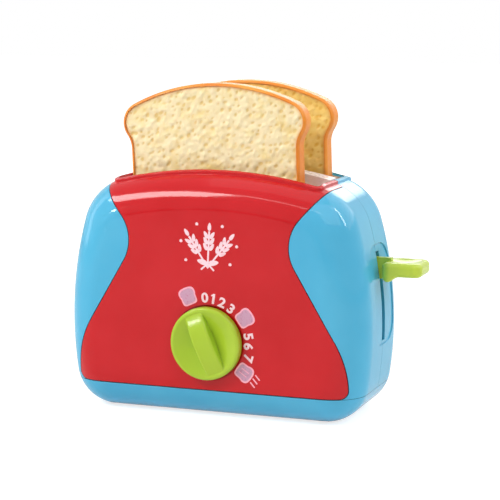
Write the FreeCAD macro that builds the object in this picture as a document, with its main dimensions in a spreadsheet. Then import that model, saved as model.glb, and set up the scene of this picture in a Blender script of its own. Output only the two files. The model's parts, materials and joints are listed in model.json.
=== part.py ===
# A toy pop-up toaster with two slices of bread, a lift lever and a timer dial.
# Millimetres, +Z up, the dial faces -Y and the lever stands out at +X.
# The origin is on the surface that the base rests on, under the middle of the casing.
import FreeCAD, Part
import Sketcher
import math
import os

doc = FreeCAD.newDocument("toy_toaster")
V = FreeCAD.Vector

# ---------------------------------------------------------------- driving dimensions
DRIVING = {
    # casing
    "case_length": 180, "case_depth": 82, "case_height": 139.5,
    "crown_radius": 250, "shoulder_radius": 32, "side_radius": 213,
    "widest_height": 51, "corner_radius": 24.5, "edge_radius": 21,
    "wall": 2.4, "seam_height": 16.5, "seam_gap": 0.2,
    # mouth over the two bread slots
    "mouth_length": 121.4, "mouth_width": 55, "mouth_corner": 3,
    "rim_wall": 2, "rim_height": 1.6, "rim_bottom": 121,
    # red hourglass panel on the front shell
    "waist_width": 95.6, "waist_height": 99.8, "waist_radius": 23,
    "shoulder_angle": 50, "flare_width": 162, "flare_height": 22,
    "flare_radius": 57, "panel_corner": 5, "panel_gap": 0.45,
    "ledge_width": 4, "ledge_lap": 3, "ledge_thickness": 1.5,
    # lever slit, a notch in the rear shell's edge, and the shallow track round it
    "slit_width": 5.5, "slit_bottom": 43.5, "slit_top": 94,
    "track_width": 36, "track_bottom": 41.5, "track_top": 98,
    "track_corner": 12, "track_depth": 0.6,
    # white bread liner
    "liner_play": 0.3, "liner_wall": 1.6, "liner_end_wall": 0.8, "liner_bottom": 40,
    "liner_drop": 1.8,
    "divider_width": 12, "divider_hollow_top": 128,
    "rib_reach": 3.2, "rib_width": 2, "rib_spacing": 36, "rib_top": 126,
    "foot_width": 8, "foot_thickness": 3, "bracket_thickness": 4,
    # bread
    "slice_thickness": 11, "slice_height": 106, "slice_neck": 101, "slice_bulge": 110,
    "slice_crown": 110, "slice_corner": 12, "slice_hollow": 14,
    "crust_width": 1.6, "crust_round": 2, "crumb_inset": 0.7,
    "front_slice_shift": -1.5, "rear_slice_shift": 4.4,
    # bread lift, its rod and its spring
    "lift_travel": 34, "shelf_height": 81.5, "shelf_thickness": 2.5, "shelf_slope": 2,
    "shelf_width": 12, "shelf_reach": 54, "arm_width": 5, "arm_height": 5.5, "arm_play": 0.4,
    "crossbar_gap": 1, "crossbar_width": 6, "crossbar_height": 8,
    "catch_reach": 36.5, "catch_height": 3,
    "rod_place": 72, "rod_diameter": 3, "rod_fit": 0.05, "rod_stand": 2,
    "hub_diameter": 10, "hub_height": 16, "hub_stop_gap": 0.3,
    "stem_width": 2, "stem_rise": 5.6, "stem_height": 5.2, "stem_reach": 98,
    "rod_seat_height": 8, "rod_foot": 4.5, "clip_thickness": 0.8, "clip_lap": 1.5,
    "spring_diameter": 7.2, "spring_wire": 0.9, "spring_turns": 10, "spring_gap": 0.05,
    # lever
    "lever_gap": 0.6, "lever_end": 113.4, "lever_width": 24, "lever_top": 89.3,
    "lever_root_bottom": 78.1, "lever_tip_bottom": 81.4,
    "lever_step_start": 93, "lever_step_end": 101, "lever_corner": 5, "lever_round": 2.6,
    "thumb_depth": 1.6, "thumb_reach": 9.2,
    "neck_start": 84.2, "neck_end": 94, "neck_width": 3.8, "neck_bottom": 78.8, "neck_top": 90.8,
    # dial and its shaft
    "dial_height": 44, "dial_diameter": 41.2, "dial_thickness": 5.8,
    "dial_gap": 0.4, "dial_seat_depth": 0.8, "dial_seat_play": 0.7,
    "dial_round": 1.6, "dial_edge": 1.1, "grip_width": 11, "grip_rise": 3, "grip_round": 1.4,
    "scoop_depth": 4, "scoop_rim": 2.2, "grip_inset": 0.6,
    "rest_angle": 23, "dial_travel": 150,
    "shaft_diameter": 6, "shaft_fit": 0.05, "shaft_flat": 2.2, "shaft_grip": 5.4,
    # cam that swings the latch
    "cam_diameter": 32.8, "cam_thickness": 2.4, "cam_gap": 0.4, "groove_depth": 1.4,
    "groove_overrun": 0.02, "groove_points": 13,
    # timer behind the dial
    "timer_gap": 0.4, "timer_depth": 5.9, "timer_diameter": 34, "timer_wall": 1.3,
    "click_diameter": 24, "click_teeth": 20, "click_depth": 1.2, "click_thickness": 2,
    "click_gap": 0.3, "leaf_thickness": 0.5, "leaf_span": 8, "leaf_rise": 2,
    "post_circle": 40, "post_diameter": 6, "post_start": 45, "post_step": 90,
    # latch that holds the bread lift down
    "latch_x": 50, "latch_z": 25, "latch_post": 4, "latch_boss": 8, "latch_fit": 0.05,
    "latch_width": 4.4, "latch_arm_depth": 3.6, "latch_swing": 6, "latch_play": 0.3,
    "tail_width": 4, "tail_thickness": 1.4, "nib_x": 5, "nib_z": 31, "nib_diameter": 2.2,
    "nib_play": 0.15, "nib_end_gap": 0.3, "nose_length": 2.3, "nose_height": 4.6, "nose_gap": 1.4,
    # screws
    "screw_shank": 2.8, "screw_head": 5.6, "screw_head_height": 1.8,
    "boss_diameter": 9.2, "pilot_play": 0.05, "pilot_end_gap": 1, "clearance_play": 0.2,
    "upper_boss_x": 66, "upper_boss_z": 117.5, "upper_head_depth": 26, "case_screw_length": 24,
    "base_boss_x": 63.5, "base_boss_y": 26, "base_boss_top": 30, "base_head_depth": 9,
    "base_screw_length": 16, "timer_screw_length": 6, "web_thickness": 2,
}

sheet = doc.addObject("Spreadsheet::Sheet", "dims")
for row, (alias, value) in enumerate(DRIVING.items(), start=1):
    sheet.set(f"A{row}", alias.replace("_", " "))
    sheet.set(f"B{row}", str(value))
    sheet.setAlias(f"B{row}", alias)
doc.recompute()


TINY = 0.01


def size(expression):
    """The value in mm of an expression in the sheet's names."""
    return float(sheet.evalExpression(expression))


# ---------------------------------------------------------------- sketch helpers
def new_body(label):
    body = doc.addObject("PartDesign::Body", label)
    body.Label = label
    return body


def plane_of(body, role):
    return next(item for item in body.Origin.OriginFeatures if item.Role == role)


def new_sketch(body, role):
    sketch = body.newObject("Sketcher::SketchObject", body.Label + "_outline")
    sketch.AttachmentSupport = (plane_of(body, role), "")
    sketch.MapMode = "FlatFace"
    return sketch


def bind(sketch, name, kind, references, expression, unit=""):
    """A dimension of the sketch that follows an expression in the sheet's names."""
    value = size(expression)
    if unit == "deg":
        value = math.radians(value)
        expression = f"({expression}) * 1 deg"
    index = sketch.addConstraint(Sketcher.Constraint(kind, *references, value))
    sketch.renameConstraint(index, name)
    sketch.setExpression("Constraints." + name, expression)


def line(start, end, smooth=False, backwards=False):
    """One straight piece of an outline: its geometry, the ends it enters and leaves by, and its joint."""
    ends = (2, 1) if backwards else (1, 2)
    return (Part.LineSegment(V(*start, 0), V(*end, 0)), *ends, smooth)


def arc(centre, radius, low, high, smooth=True, clockwise=True):
    """One round piece of an outline, between two angles in degrees."""
    circle = Part.Circle(V(*centre, 0), V(0, 0, 1), radius)
    ends = (2, 1) if clockwise else (1, 2)
    return (Part.ArcOfCircle(circle, math.radians(low), math.radians(high)), *ends, smooth)


def draw(sketch, outline):
    """Adds a closed chain of pieces, each joined to the next and tangent to it where it is smooth."""
    first = sketch.GeometryCount
    for geometry, _, _, _ in outline:
        sketch.addGeometry(geometry, False)
    for index, (_, _, leave, smooth) in enumerate(outline):
        following = (index + 1) % len(outline)
        enter = outline[following][1]
        kind = "Tangent" if smooth else "Coincident"
        joint = Sketcher.Constraint(kind, first + index, leave, first + following, enter)
        sketch.addConstraint(joint)
    return first


def centre_at(sketch, piece, name, across, up):
    """Fixes an arc's centre by its two distances from the origin."""
    bind(sketch, name + "_across", "DistanceX", (-1, 1, piece, 3), across)
    bind(sketch, name + "_up", "DistanceY", (-1, 1, piece, 3), up)


def on_axis(sketch, piece, position):
    sketch.addConstraint(Sketcher.Constraint("PointOnObject", piece, position, -2))


def rounded_rectangle(sketch, wide, high, radius):
    """A rectangle with round corners about the sketch's origin."""
    w = size(wide) / 2
    h = size(high) / 2
    r = size(radius)
    draw(sketch, [
        line((-w + r, h), (w - r, h), True),
        arc((w - r, h - r), r, 0, 90),
        line((w, h - r), (w, -h + r), True),
        arc((w - r, -h + r), r, -90, 0),
        line((w - r, -h), (-w + r, -h), True),
        arc((-w + r, -h + r), r, 180, 270),
        line((-w, -h + r), (-w, h - r), True),
        arc((-w + r, h - r), r, 90, 180),
    ])
    for top_or_bottom in (0, 4):
        sketch.addConstraint(Sketcher.Constraint("Horizontal", top_or_bottom))
    for side in (2, 6):
        sketch.addConstraint(Sketcher.Constraint("Vertical", side))
    for corner in (3, 5, 7):
        sketch.addConstraint(Sketcher.Constraint("Equal", 1, corner))
    sketch.addConstraint(Sketcher.Constraint("Symmetric", 1, 3, 5, 3, -1, 1))
    bind(sketch, "radius", "Radius", (1,), radius)
    bind(sketch, "wide", "DistanceX", (6, 1, 2, 1), wide)
    bind(sketch, "high", "DistanceY", (4, 1, 0, 1), high)


def pad(body, sketch, length, symmetric=False, backwards=False):
    feature = body.newObject("PartDesign::Pad", body.Label + "_pad")
    feature.Profile = sketch
    feature.SideType = "Symmetric" if symmetric else "One side"
    feature.Reversed = backwards
    feature.setExpression("Length", length)
    doc.recompute()
    return feature


def pocket(body, sketch, length, symmetric=False, backwards=False):
    feature = body.newObject("PartDesign::Pocket", body.Label + "_pocket")
    feature.Profile = sketch
    feature.SideType = "Symmetric" if symmetric else "One side"
    feature.Reversed = backwards
    feature.setExpression("Length", length)
    doc.recompute()
    return feature


def mirror(body, features, role="YZ_Plane"):
    feature = body.newObject("PartDesign::Mirrored", body.Label + "_mirrored")
    feature.Originals = features
    feature.MirrorPlane = (plane_of(body, role), [""])
    body.Tip = feature
    doc.recompute()
    return feature


def edges_where(shape, test):
    return [f"Edge{n}" for n, edge in enumerate(shape.Edges, start=1) if test(edge)]


def fillet(body, feature, test, radius):
    """Rounds the edges of a feature that pass a test."""
    rounded = body.newObject("PartDesign::Fillet", body.Label + "_fillet")
    rounded.Base = (feature, edges_where(feature.Shape, test))
    rounded.setExpression("Radius", radius)
    doc.recompute()
    return rounded


def level(edge, axis, height):
    """Whether an edge lies in the plane at a height along an axis, 0 for X, 1 for Y and 2 for Z."""
    box = edge.BoundBox
    low = (box.XMin, box.YMin, box.ZMin)[axis]
    high = (box.XMax, box.YMax, box.ZMax)[axis]
    return abs(low - height) < TINY and abs(high - height) < TINY


def rounded_slab(label, role, wide, high, radius, thickness, place=("0", "0", "0")):
    """A slab with round corners, half its thickness to each side of its plane."""
    body = new_body(label)
    sketch = new_sketch(body, role)
    rounded_rectangle(sketch, wide, high, radius)
    pad(body, sketch, thickness, symmetric=True)
    put(body, place)
    return body


# ---------------------------------------------------------------- solid helpers
def put(item, place):
    for axis, expression in zip("xyz", place):
        item.setExpression("Placement.Base." + axis, expression)


def box(label, x, y, z):
    """A block between two expressions along each axis."""
    block = doc.addObject("Part::Box", label)
    block.setExpression("Length", f"({x[1]}) - ({x[0]})")
    block.setExpression("Width", f"({y[1]}) - ({y[0]})")
    block.setExpression("Height", f"({z[1]}) - ({z[0]})")
    put(block, (x[0], y[0], z[0]))
    return block


def cylinder(label, axis, start, diameter, length):
    """A cylinder from a start point along +X, +Y or +Z."""
    turned = {
        "X": FreeCAD.Rotation(V(0, 1, 0), 90),
        "Y": FreeCAD.Rotation(V(1, 0, 0), -90),
        "Z": FreeCAD.Rotation(),
    }
    shaft = doc.addObject("Part::Cylinder", label)
    shaft.setExpression("Radius", f"({diameter}) / 2")
    shaft.setExpression("Height", length)
    shaft.Placement = FreeCAD.Placement(V(), turned[axis])
    put(shaft, start)
    return shaft


def fuse(label, *pieces):
    joined = doc.addObject("Part::MultiFuse", label)
    joined.Shapes = list(pieces)
    joined.Refine = True
    return joined


def cut(label, base, *tools):
    tool = tools[0] if len(tools) == 1 else fuse(label + "_tools", *tools)
    result = doc.addObject("Part::Cut", label)
    result.Base = base
    result.Tool = tool
    result.Refine = True
    return result


def common(label, *pieces):
    shared = doc.addObject("Part::MultiCommon", label)
    shared.Shapes = list(pieces)
    shared.Refine = True
    return shared


def node(label, item):
    """Gives a finished sub-part the name that its file has."""
    item.Label = label
    nodes[label] = item
    return item


nodes = {}

# ---------------------------------------------------------------- places that several sub-parts share
HALF_DEPTH = "(dims.case_depth / 2)"
INNER_FRONT = "(dims.case_depth / 2 - dims.wall)"
FAR = "dims.case_length"
SLOT_PLACE = ("(dims.mouth_width / 2 - dims.liner_play - dims.liner_wall"
              " + dims.divider_width / 2) / 2")
LINER_HALF_LENGTH = "(dims.mouth_length / 2 - dims.liner_play)"
LINER_HALF_WIDTH = "(dims.mouth_width / 2 - dims.liner_play)"
WELL_END = "(dims.mouth_length / 2 - dims.liner_play - dims.liner_end_wall)"
CROSSBAR_START = "(dims.mouth_length / 2 - dims.liner_play + dims.crossbar_gap)"
CROSSBAR_BOTTOM = "(dims.shelf_height - dims.arm_height)"
BRACKET_TOP = ("(dims.shelf_height - dims.arm_height + dims.hub_height + dims.hub_stop_gap"
               " + dims.bracket_thickness)")
LEVER_START = "(dims.case_length / 2 + dims.lever_gap)"
SLIT_MIDDLE = "(dims.slit_width / 2)"
STEP_RADIUS = ("(((dims.lever_step_end - dims.lever_step_start) ^ 2"
               " + (dims.lever_tip_bottom - dims.lever_root_bottom) ^ 2)"
               " / (4 * (dims.lever_tip_bottom - dims.lever_root_bottom)))")
DIAL_BACK = "(dims.case_depth / 2 - dims.dial_seat_depth + dims.dial_gap)"
CAM_FRONT = "(dims.case_depth / 2 - dims.wall - dims.cam_gap)"
CAM_BACK = "(dims.case_depth / 2 - dims.wall - dims.cam_gap - dims.cam_thickness)"
TAIL_BACK = ("(dims.case_depth / 2 - dims.wall - dims.cam_gap - dims.cam_thickness - dims.timer_gap"
             " - dims.tail_thickness)")
TIMER_FRONT = ("(dims.case_depth / 2 - dims.wall - dims.cam_gap - dims.cam_thickness"
               " - 2 * dims.timer_gap - dims.tail_thickness)")
TIMER_BACK = ("(dims.case_depth / 2 - dims.wall - dims.cam_gap - dims.cam_thickness"
              " - 2 * dims.timer_gap - dims.tail_thickness - dims.timer_depth)")
CREST = "dims.case_height + dims.rim_height"
LOWER_SEAM = "(dims.seam_height - dims.seam_gap / 2)"
UPPER_SEAM = "(dims.seam_height + dims.seam_gap / 2)"


# ---------------------------------------------------------------- casing forms
def casing_form(label, inset):
    """The rounded body of the toaster, drawn inset mm inside its outer face."""
    body = new_body(label)
    sketch = new_sketch(body, "XZ_Plane")
    step = size(inset)
    crown = size("dims.crown_radius")
    shoulder = size("dims.shoulder_radius")
    side = size("dims.side_radius")
    corner = size("dims.corner_radius")
    crown_centre = V(0, size("dims.case_height") - crown, 0)
    side_centre = V(size("dims.case_length") / 2 - side, size("dims.widest_height"), 0)
    # the shoulder touches the crown and the side from inside
    link = side_centre - crown_centre
    along = ((crown - shoulder) ** 2 - (side - shoulder) ** 2 + link.Length ** 2) / (2 * link.Length)
    aside = math.sqrt((crown - shoulder) ** 2 - along ** 2)
    link.normalize()
    shoulder_centre = crown_centre + link * along + V(link.y, -link.x, 0) * aside
    # the bottom corner touches the side from inside and the floor line
    rise = corner - side_centre.y
    corner_centre = V(side_centre.x + math.sqrt((side - corner) ** 2 - rise ** 2), corner, 0)
    crown_end = angle_between(crown_centre, shoulder_centre)
    shoulder_end = angle_between(side_centre, shoulder_centre)
    side_end = angle_between(side_centre, corner_centre)
    top = size("dims.case_height") - step
    draw(sketch, [
        line((0, step), (0, top)),
        arc((0, crown_centre.y), crown - step, crown_end, 90),
        arc((shoulder_centre.x, shoulder_centre.y), shoulder - step, shoulder_end, crown_end),
        arc((side_centre.x, side_centre.y), side - step, side_end, shoulder_end),
        arc((corner_centre.x, corner_centre.y), corner - step, -90, side_end),
        line((corner_centre.x, step), (0, step)),
    ])
    for position in (1, 2):
        on_axis(sketch, 0, position)
    on_axis(sketch, 1, 3)
    sketch.addConstraint(Sketcher.Constraint("Horizontal", 5))
    bind(sketch, "crown_up", "DistanceY", (-1, 1, 1, 3), "dims.case_height - dims.crown_radius")
    centre_at(sketch, 3, "side", "dims.case_length / 2 - dims.side_radius", "dims.widest_height")
    bind(sketch, "corner_up", "DistanceY", (-1, 1, 4, 3), "dims.corner_radius")
    for piece, name in ((1, "crown"), (2, "shoulder"), (3, "side"), (4, "corner")):
        bind(sketch, name, "Radius", (piece,), f"dims.{name}_radius - ({inset})")
    half = pad(body, sketch, f"dims.case_depth - 2 * ({inset})", symmetric=True)
    whole = mirror(body, [half])
    face = size(f"dims.case_depth / 2 - ({inset})")
    fillet(body, whole, lambda edge: level(edge, 1, face) or level(edge, 1, -face),
           f"dims.edge_radius - ({inset})")
    return body


def angle_between(start, end):
    """The direction from one point to another, in degrees above +X."""
    return math.degrees(math.atan2(end.y - start.y, end.x - start.x))


def panel_form(label, inset):
    """The hourglass in front view, inset mm inside its edge, from the parting plane forwards."""
    body = new_body(label)
    sketch = new_sketch(body, "XZ_Plane")
    step = size(inset)
    waist = size("dims.waist_radius") + step
    flare = size("dims.flare_radius") - step
    corner = size("dims.panel_corner") - step
    slope = size("dims.shoulder_angle")
    edge = size("dims.flare_width") / 2 - step
    bottom = size("dims.seam_height") + step
    top = size(CREST) + size("dims.wall")
    waist_centre = V(size("dims.waist_width / 2 + dims.waist_radius"), size("dims.waist_height"), 0)
    flare_centre = V(edge - flare, size("dims.flare_height"), 0)
    # the straight stretch touches the waist on one side and the flare on the other
    link = flare_centre - waist_centre
    lean = math.degrees(math.acos((waist + flare) / link.Length))
    touch = angle_between(waist_centre, flare_centre) % 360 - lean
    away = math.radians(90 + slope)
    upper = waist_centre + V(math.cos(away), math.sin(away), 0) * waist
    towards = V(math.cos(math.radians(touch)), math.sin(math.radians(touch)), 0)
    lower = waist_centre + towards * waist
    flare_start = flare_centre - towards * flare
    top_end = upper.x + (top - upper.y) / math.tan(math.radians(slope))
    draw(sketch, [
        line((0, bottom), (0, top)),
        line((0, top), (top_end, top)),
        line((upper.x, upper.y), (top_end, top), True, backwards=True),
        arc((waist_centre.x, waist_centre.y), waist, 90 + slope, touch, clockwise=False),
        line((lower.x, lower.y), (flare_start.x, flare_start.y), True),
        arc((flare_centre.x, flare_centre.y), flare, 0, touch - 180),
        line((edge, flare_centre.y), (edge, bottom + corner), True),
        arc((edge - corner, bottom + corner), corner, -90, 0),
        line((edge - corner, bottom), (0, bottom)),
    ])
    for position in (1, 2):
        on_axis(sketch, 0, position)
    for piece in (1, 8):
        sketch.addConstraint(Sketcher.Constraint("Horizontal", piece))
    sketch.addConstraint(Sketcher.Constraint("Vertical", 6))
    bind(sketch, "bottom", "DistanceY", (-1, 1, 0, 1), f"dims.seam_height + ({inset})")
    bind(sketch, "top", "DistanceY", (-1, 1, 0, 2), CREST + " + dims.wall")
    bind(sketch, "slope", "Angle", (2,), "dims.shoulder_angle", "deg")
    bind(sketch, "waist", "Radius", (3,), f"dims.waist_radius + ({inset})")
    centre_at(sketch, 3, "waist_centre", "dims.waist_width / 2 + dims.waist_radius", "dims.waist_height")
    bind(sketch, "flare", "Radius", (5,), f"dims.flare_radius - ({inset})")
    centre_at(sketch, 5, "flare_centre", "dims.flare_width / 2 - dims.flare_radius", "dims.flare_height")
    bind(sketch, "corner", "Radius", (7,), f"dims.panel_corner - ({inset})")
    half = pad(body, sketch, HALF_DEPTH + " + dims.wall")
    mirror(body, [half])
    return body


def skin_region(label, z, y=None):
    """A block that takes one storey of the casing, and one side of its parting plane."""
    return box(label, ("-" + FAR, FAR), y or ("-" + FAR, FAR), z)


outer_form = casing_form("outer_form", "0")
inner_form = casing_form("inner_form", "dims.wall")
ledge_form = casing_form("ledge_form", "dims.wall + dims.ledge_thickness")
crest_form = casing_form("crest_form", "-dims.rim_height")
skin = cut("skin", outer_form, inner_form)

boss_form = casing_form("boss_form", "dims.wall / 2")
track_floor = casing_form("track_floor", "dims.track_depth")

# ---------------------------------------------------------------- mouth, slit and halves
front_half = skin_region("front_half", (UPPER_SEAM, FAR), ("-" + FAR, "-dims.seam_gap / 2"))
rear_half = skin_region("rear_half", (UPPER_SEAM, FAR), ("dims.seam_gap / 2", FAR))
mouth = rounded_slab("mouth", "XY_Plane", "dims.mouth_length", "dims.mouth_width",
                     "dims.mouth_corner", "dims.case_height", ("0", "0", "dims.case_height"))


def rim_prism(label, grown):
    """The rim's outer outline, grown mm larger all round, down to the rim's lower edge."""
    return rounded_slab(label, "XY_Plane",
                        f"dims.mouth_length + 2 * dims.rim_wall + 2 * ({grown})",
                        f"dims.mouth_width + 2 * dims.rim_wall + 2 * ({grown})",
                        f"dims.mouth_corner + dims.rim_wall + ({grown})",
                        "2 * (dims.case_height - dims.rim_bottom)", ("0", "0", "dims.case_height"))


rim = cut("rim", common("rim_wall_block", rim_prism("rim_outside", "0"), crest_form), mouth)
rim_clearance = rim_prism("rim_clearance", "dims.panel_gap")
track = rounded_slab("track", "YZ_Plane", "dims.track_width",
                     "dims.track_top - dims.track_bottom", "dims.track_corner", "dims.case_length",
                     ("dims.case_length / 2", SLIT_MIDDLE, "(dims.track_top + dims.track_bottom) / 2"))
track_cut = cut("track_cut", track, track_floor)
slit = box("slit", ("dims.case_length / 4", "dims.case_length"),
           ("0", "dims.slit_width"), ("dims.slit_bottom", "dims.slit_top"))


# ---------------------------------------------------------------- red front panel
POST_ROOT = f"-{INNER_FRONT} - dims.wall / 4"


def timer_post_places():
    """Where the posts that carry the timer stand, as expressions in x and z."""
    reach = "dims.post_circle / 2"
    turns = [f"((dims.post_start + {step} * dims.post_step) * 1 deg)" for step in range(3)]
    return [(f"{reach} * cos({turn})", f"dims.dial_height + {reach} * sin({turn})") for turn in turns]


def front_panel():
    window = panel_form("panel_outline", "dims.panel_gap")
    plate = cut("panel_plate", common("panel_skin", skin, window, front_half), mouth)
    solids = [plate, common("rim_front", rim, front_half)]
    holes = [cylinder("dial_seat", "Y", ("0", f"-{FAR}", "dims.dial_height"),
                      "dims.dial_diameter + 2 * dims.dial_seat_play",
                      f"{FAR} - {HALF_DEPTH} + dims.dial_seat_depth"),
             cylinder("dial_bore", "Y", ("0", f"-{FAR}", "dims.dial_height"),
                      "dims.shaft_diameter + 2 * dims.shaft_fit", FAR)]
    for number, (x, z) in enumerate(timer_post_places(), start=1):
        solids.append(cylinder(f"timer_post_{number}", "Y", (x, POST_ROOT, z), "dims.post_diameter",
                               f"-{TIMER_FRONT} - ({POST_ROOT})"))
        holes.append(cylinder(f"timer_pilot_{number}", "Y", (x, f"-{INNER_FRONT}", z),
                              "dims.screw_shank + 2 * dims.pilot_play", INNER_FRONT))
    solids.append(cylinder("latch_pivot", "Y", ("dims.latch_x", POST_ROOT, "dims.latch_z"),
                           "dims.latch_post",
                           f"-{TAIL_BACK} + dims.latch_play + 2 * dims.clip_thickness - ({POST_ROOT})"))
    return node("front_panel", cut("front_panel_solid", fuse("panel_body", *solids), *holes))


# ---------------------------------------------------------------- blue shells and base
def upper_boss_places():
    return [("-dims.upper_boss_x", "dims.upper_boss_z"), ("dims.upper_boss_x", "dims.upper_boss_z")]


def base_boss_places(side):
    """The two base screws on one side of the parting plane, -1 in front and 1 behind."""
    y = f"{side} * dims.base_boss_y"
    return [("-dims.base_boss_x", y), ("dims.base_boss_x", y)]


def shell_feet(name, side, limit):
    """Bosses for the base screws, each held to what is in front of or behind it by a web."""
    solids = []
    for number, (x, y) in enumerate(base_boss_places(side), start=1):
        height = ("dims.base_boss_top - " + UPPER_SEAM)
        solids.append(cylinder(f"{name}_boss_{number}", "Z", (x, y, UPPER_SEAM),
                               "dims.boss_diameter", height))
        ends = (f"-{HALF_DEPTH}", y) if side < 0 else (y, HALF_DEPTH)
        web = box(f"{name}_web_{number}",
                  (f"{x} - dims.web_thickness / 2", f"{x} + dims.web_thickness / 2"),
                  ends, (UPPER_SEAM, "dims.base_boss_top"))
        solids.append(common(f"{name}_web_in_{number}", web, limit))
    return solids


def base_pilots(name, side):
    return [cylinder(f"{name}_pilot_{number}", "Z", (x, y, "0"),
                     "dims.screw_shank + 2 * dims.pilot_play", "dims.base_boss_top - dims.wall")
            for number, (x, y) in enumerate(base_boss_places(side), start=1)]


def front_shell():
    window = panel_form("window", "0")
    around = panel_form("ledge_outside", "-dims.ledge_lap")
    within = panel_form("ledge_inside", "dims.ledge_width")
    cheeks = cut("cheeks", common("cheek_skin", skin, front_half), window)
    ledge_skin = cut("ledge_skin", inner_form, ledge_form)
    ledge = common("ledge", cut("ledge_ring", around, within), ledge_skin, front_half)
    bosses = []
    pilots = base_pilots("front_base", -1)
    for number, (x, z) in enumerate(upper_boss_places(), start=1):
        stem = cylinder(f"front_stem_{number}", "Y", (x, f"-{HALF_DEPTH}", z), "dims.boss_diameter",
                        f"{HALF_DEPTH} + dims.seam_gap / 2")
        bosses.append(common(f"front_boss_{number}", stem, boss_form))
        screw_end = f"{HALF_DEPTH} - dims.upper_head_depth - dims.case_screw_length - dims.pilot_end_gap"
        pilots.append(cylinder(f"front_pilot_{number}", "Y", (x, screw_end, z),
                               "dims.screw_shank + 2 * dims.pilot_play", "dims.case_depth"))
    body = fuse("front_body", cheeks, ledge, *bosses, *shell_feet("front_foot", -1, inner_form))
    return node("front_shell", cut("front_shell_solid", body, rim_clearance, track_cut, *pilots))


def rear_shell():
    solids = [cut("back_skin", common("back_cut", skin, rear_half), mouth),
              common("rim_rear", rim, rear_half)]
    holes = base_pilots("rear_base", 1)
    for number, (x, z) in enumerate(upper_boss_places(), start=1):
        stem = cylinder(f"rear_stem_{number}", "Y", (x, "dims.seam_gap / 2", z), "dims.boss_diameter",
                        HALF_DEPTH)
        solids.append(common(f"rear_boss_{number}", stem, boss_form))
        holes.append(cylinder(f"rear_hole_{number}", "Y", (x, "-dims.seam_gap", z),
                              "dims.screw_shank + 2 * dims.clearance_play", "dims.case_depth"))
        well_floor = f"{HALF_DEPTH} - dims.upper_head_depth"
        holes.append(cylinder(f"rear_head_{number}", "Y", (x, well_floor, z),
                              "dims.screw_head + 2 * dims.clearance_play", "dims.case_depth"))
    body = fuse("rear_body", *solids, *shell_feet("rear_foot", 1, boss_form))
    return node("rear_shell", cut("rear_shell_solid", body, slit, track_cut, *holes))


def base_tray():
    solids = [common("base_skin", skin, skin_region("base_storey", ("0", LOWER_SEAM)))]
    holes = []
    for side in (-1, 1):
        for number, (x, y) in enumerate(base_boss_places(side), start=1):
            name = f"base_{side + 1}_{number}"
            stem = cylinder(name + "_pillar", "Z", (x, y, "0"), "dims.boss_diameter", UPPER_SEAM)
            solids.append(common(name + "_pillar_in", stem, outer_form))
            holes.append(cylinder(name + "_hole", "Z", (x, y, "0"),
                                  "dims.screw_shank + 2 * dims.clearance_play", "dims.case_height"))
            holes.append(cylinder(name + "_head", "Z", (x, y, "-dims.wall"),
                                  "dims.screw_head + 2 * dims.clearance_play",
                                  "dims.base_head_depth + dims.wall"))
    seat = cylinder("rod_seat", "Z", ("dims.rod_place", "0", "0"),
                    "dims.rod_diameter + 2 * dims.wall", "dims.rod_seat_height")
    solids.append(common("rod_seat_in", seat, boss_form))
    holes.append(cylinder("rod_socket", "Z", ("dims.rod_place", "0", "dims.rod_foot"),
                          "dims.rod_diameter", "dims.case_height"))
    return node("base_tray", cut("base_tray_solid", fuse("base_body", *solids), *holes))


# ---------------------------------------------------------------- white bread liner
def mirrored_span(side, near, far):
    """The span from near to far on one side of a plane, -1 for the negative side."""
    return (near, far) if side > 0 else (f"-({far})", f"-({near})")


def liner_walls():
    """The walls of the two wells, lower than the rim all round, and the divider as high as the rim."""
    block = rounded_slab("liner_block", "XY_Plane", f"2 * {LINER_HALF_LENGTH}",
                         f"2 * {LINER_HALF_WIDTH}", "dims.mouth_corner - dims.liner_play",
                         f"2 * ({FAR} - dims.liner_bottom)", ("0", "0", FAR))
    hollow = "(dims.divider_width / 2 - dims.liner_wall)"
    spaces = [box("divider_hollow", (f"-{WELL_END}", WELL_END), (f"-{hollow}", hollow),
                  ("0", "dims.divider_hollow_top"))]
    for side, name in ((-1, "front"), (1, "rear")):
        across = mirrored_span(side, "dims.divider_width / 2",
                               f"{LINER_HALF_WIDTH} - dims.liner_wall")
        spaces.append(box(name + "_well", (f"-{WELL_END}", WELL_END), across, ("0", FAR)))
        slot = mirrored_span(side, f"{SLOT_PLACE} - dims.arm_width / 2 - dims.arm_play",
                             f"{SLOT_PLACE} + dims.arm_width / 2 + dims.arm_play")
        spaces.append(box(name + "_arm_slit", ("dims.shelf_reach", FAR), slot,
                          ("0", "dims.shelf_height + dims.liner_wall")))
    crest = casing_form("liner_crest", "dims.liner_drop - dims.rim_height")
    band = box("divider_band", (f"-{WELL_END}", WELL_END),
               ("-dims.divider_width / 2", "dims.divider_width / 2"), ("dims.liner_bottom", FAR))
    trimmed = fuse("liner_trimmed", common("liner_low_walls", block, crest),
                   common("liner_divider", band, crest_form))
    return cut("liner_walls", trimmed, *spaces)


def liner_ribs():
    """Upright ribs that keep the slices clear of the walls."""
    wall = f"({LINER_HALF_WIDTH} - dims.liner_wall)"
    spans = [(f"{wall} - dims.rib_reach", f"{wall} + dims.liner_wall / 2"),
             ("dims.divider_width / 2 - dims.liner_wall / 2", "dims.divider_width / 2 + dims.rib_reach")]
    ribs = []
    for side in (-1, 1):
        for place in (-1, 0, 1):
            across = (f"{place} * dims.rib_spacing - dims.rib_width / 2",
                      f"{place} * dims.rib_spacing + dims.rib_width / 2")
            for near, far in spans:
                ribs.append(box(f"rib_{len(ribs) + 1}", across, mirrored_span(side, near, far),
                                ("dims.liner_bottom", "dims.rib_top")))
    return ribs


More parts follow.
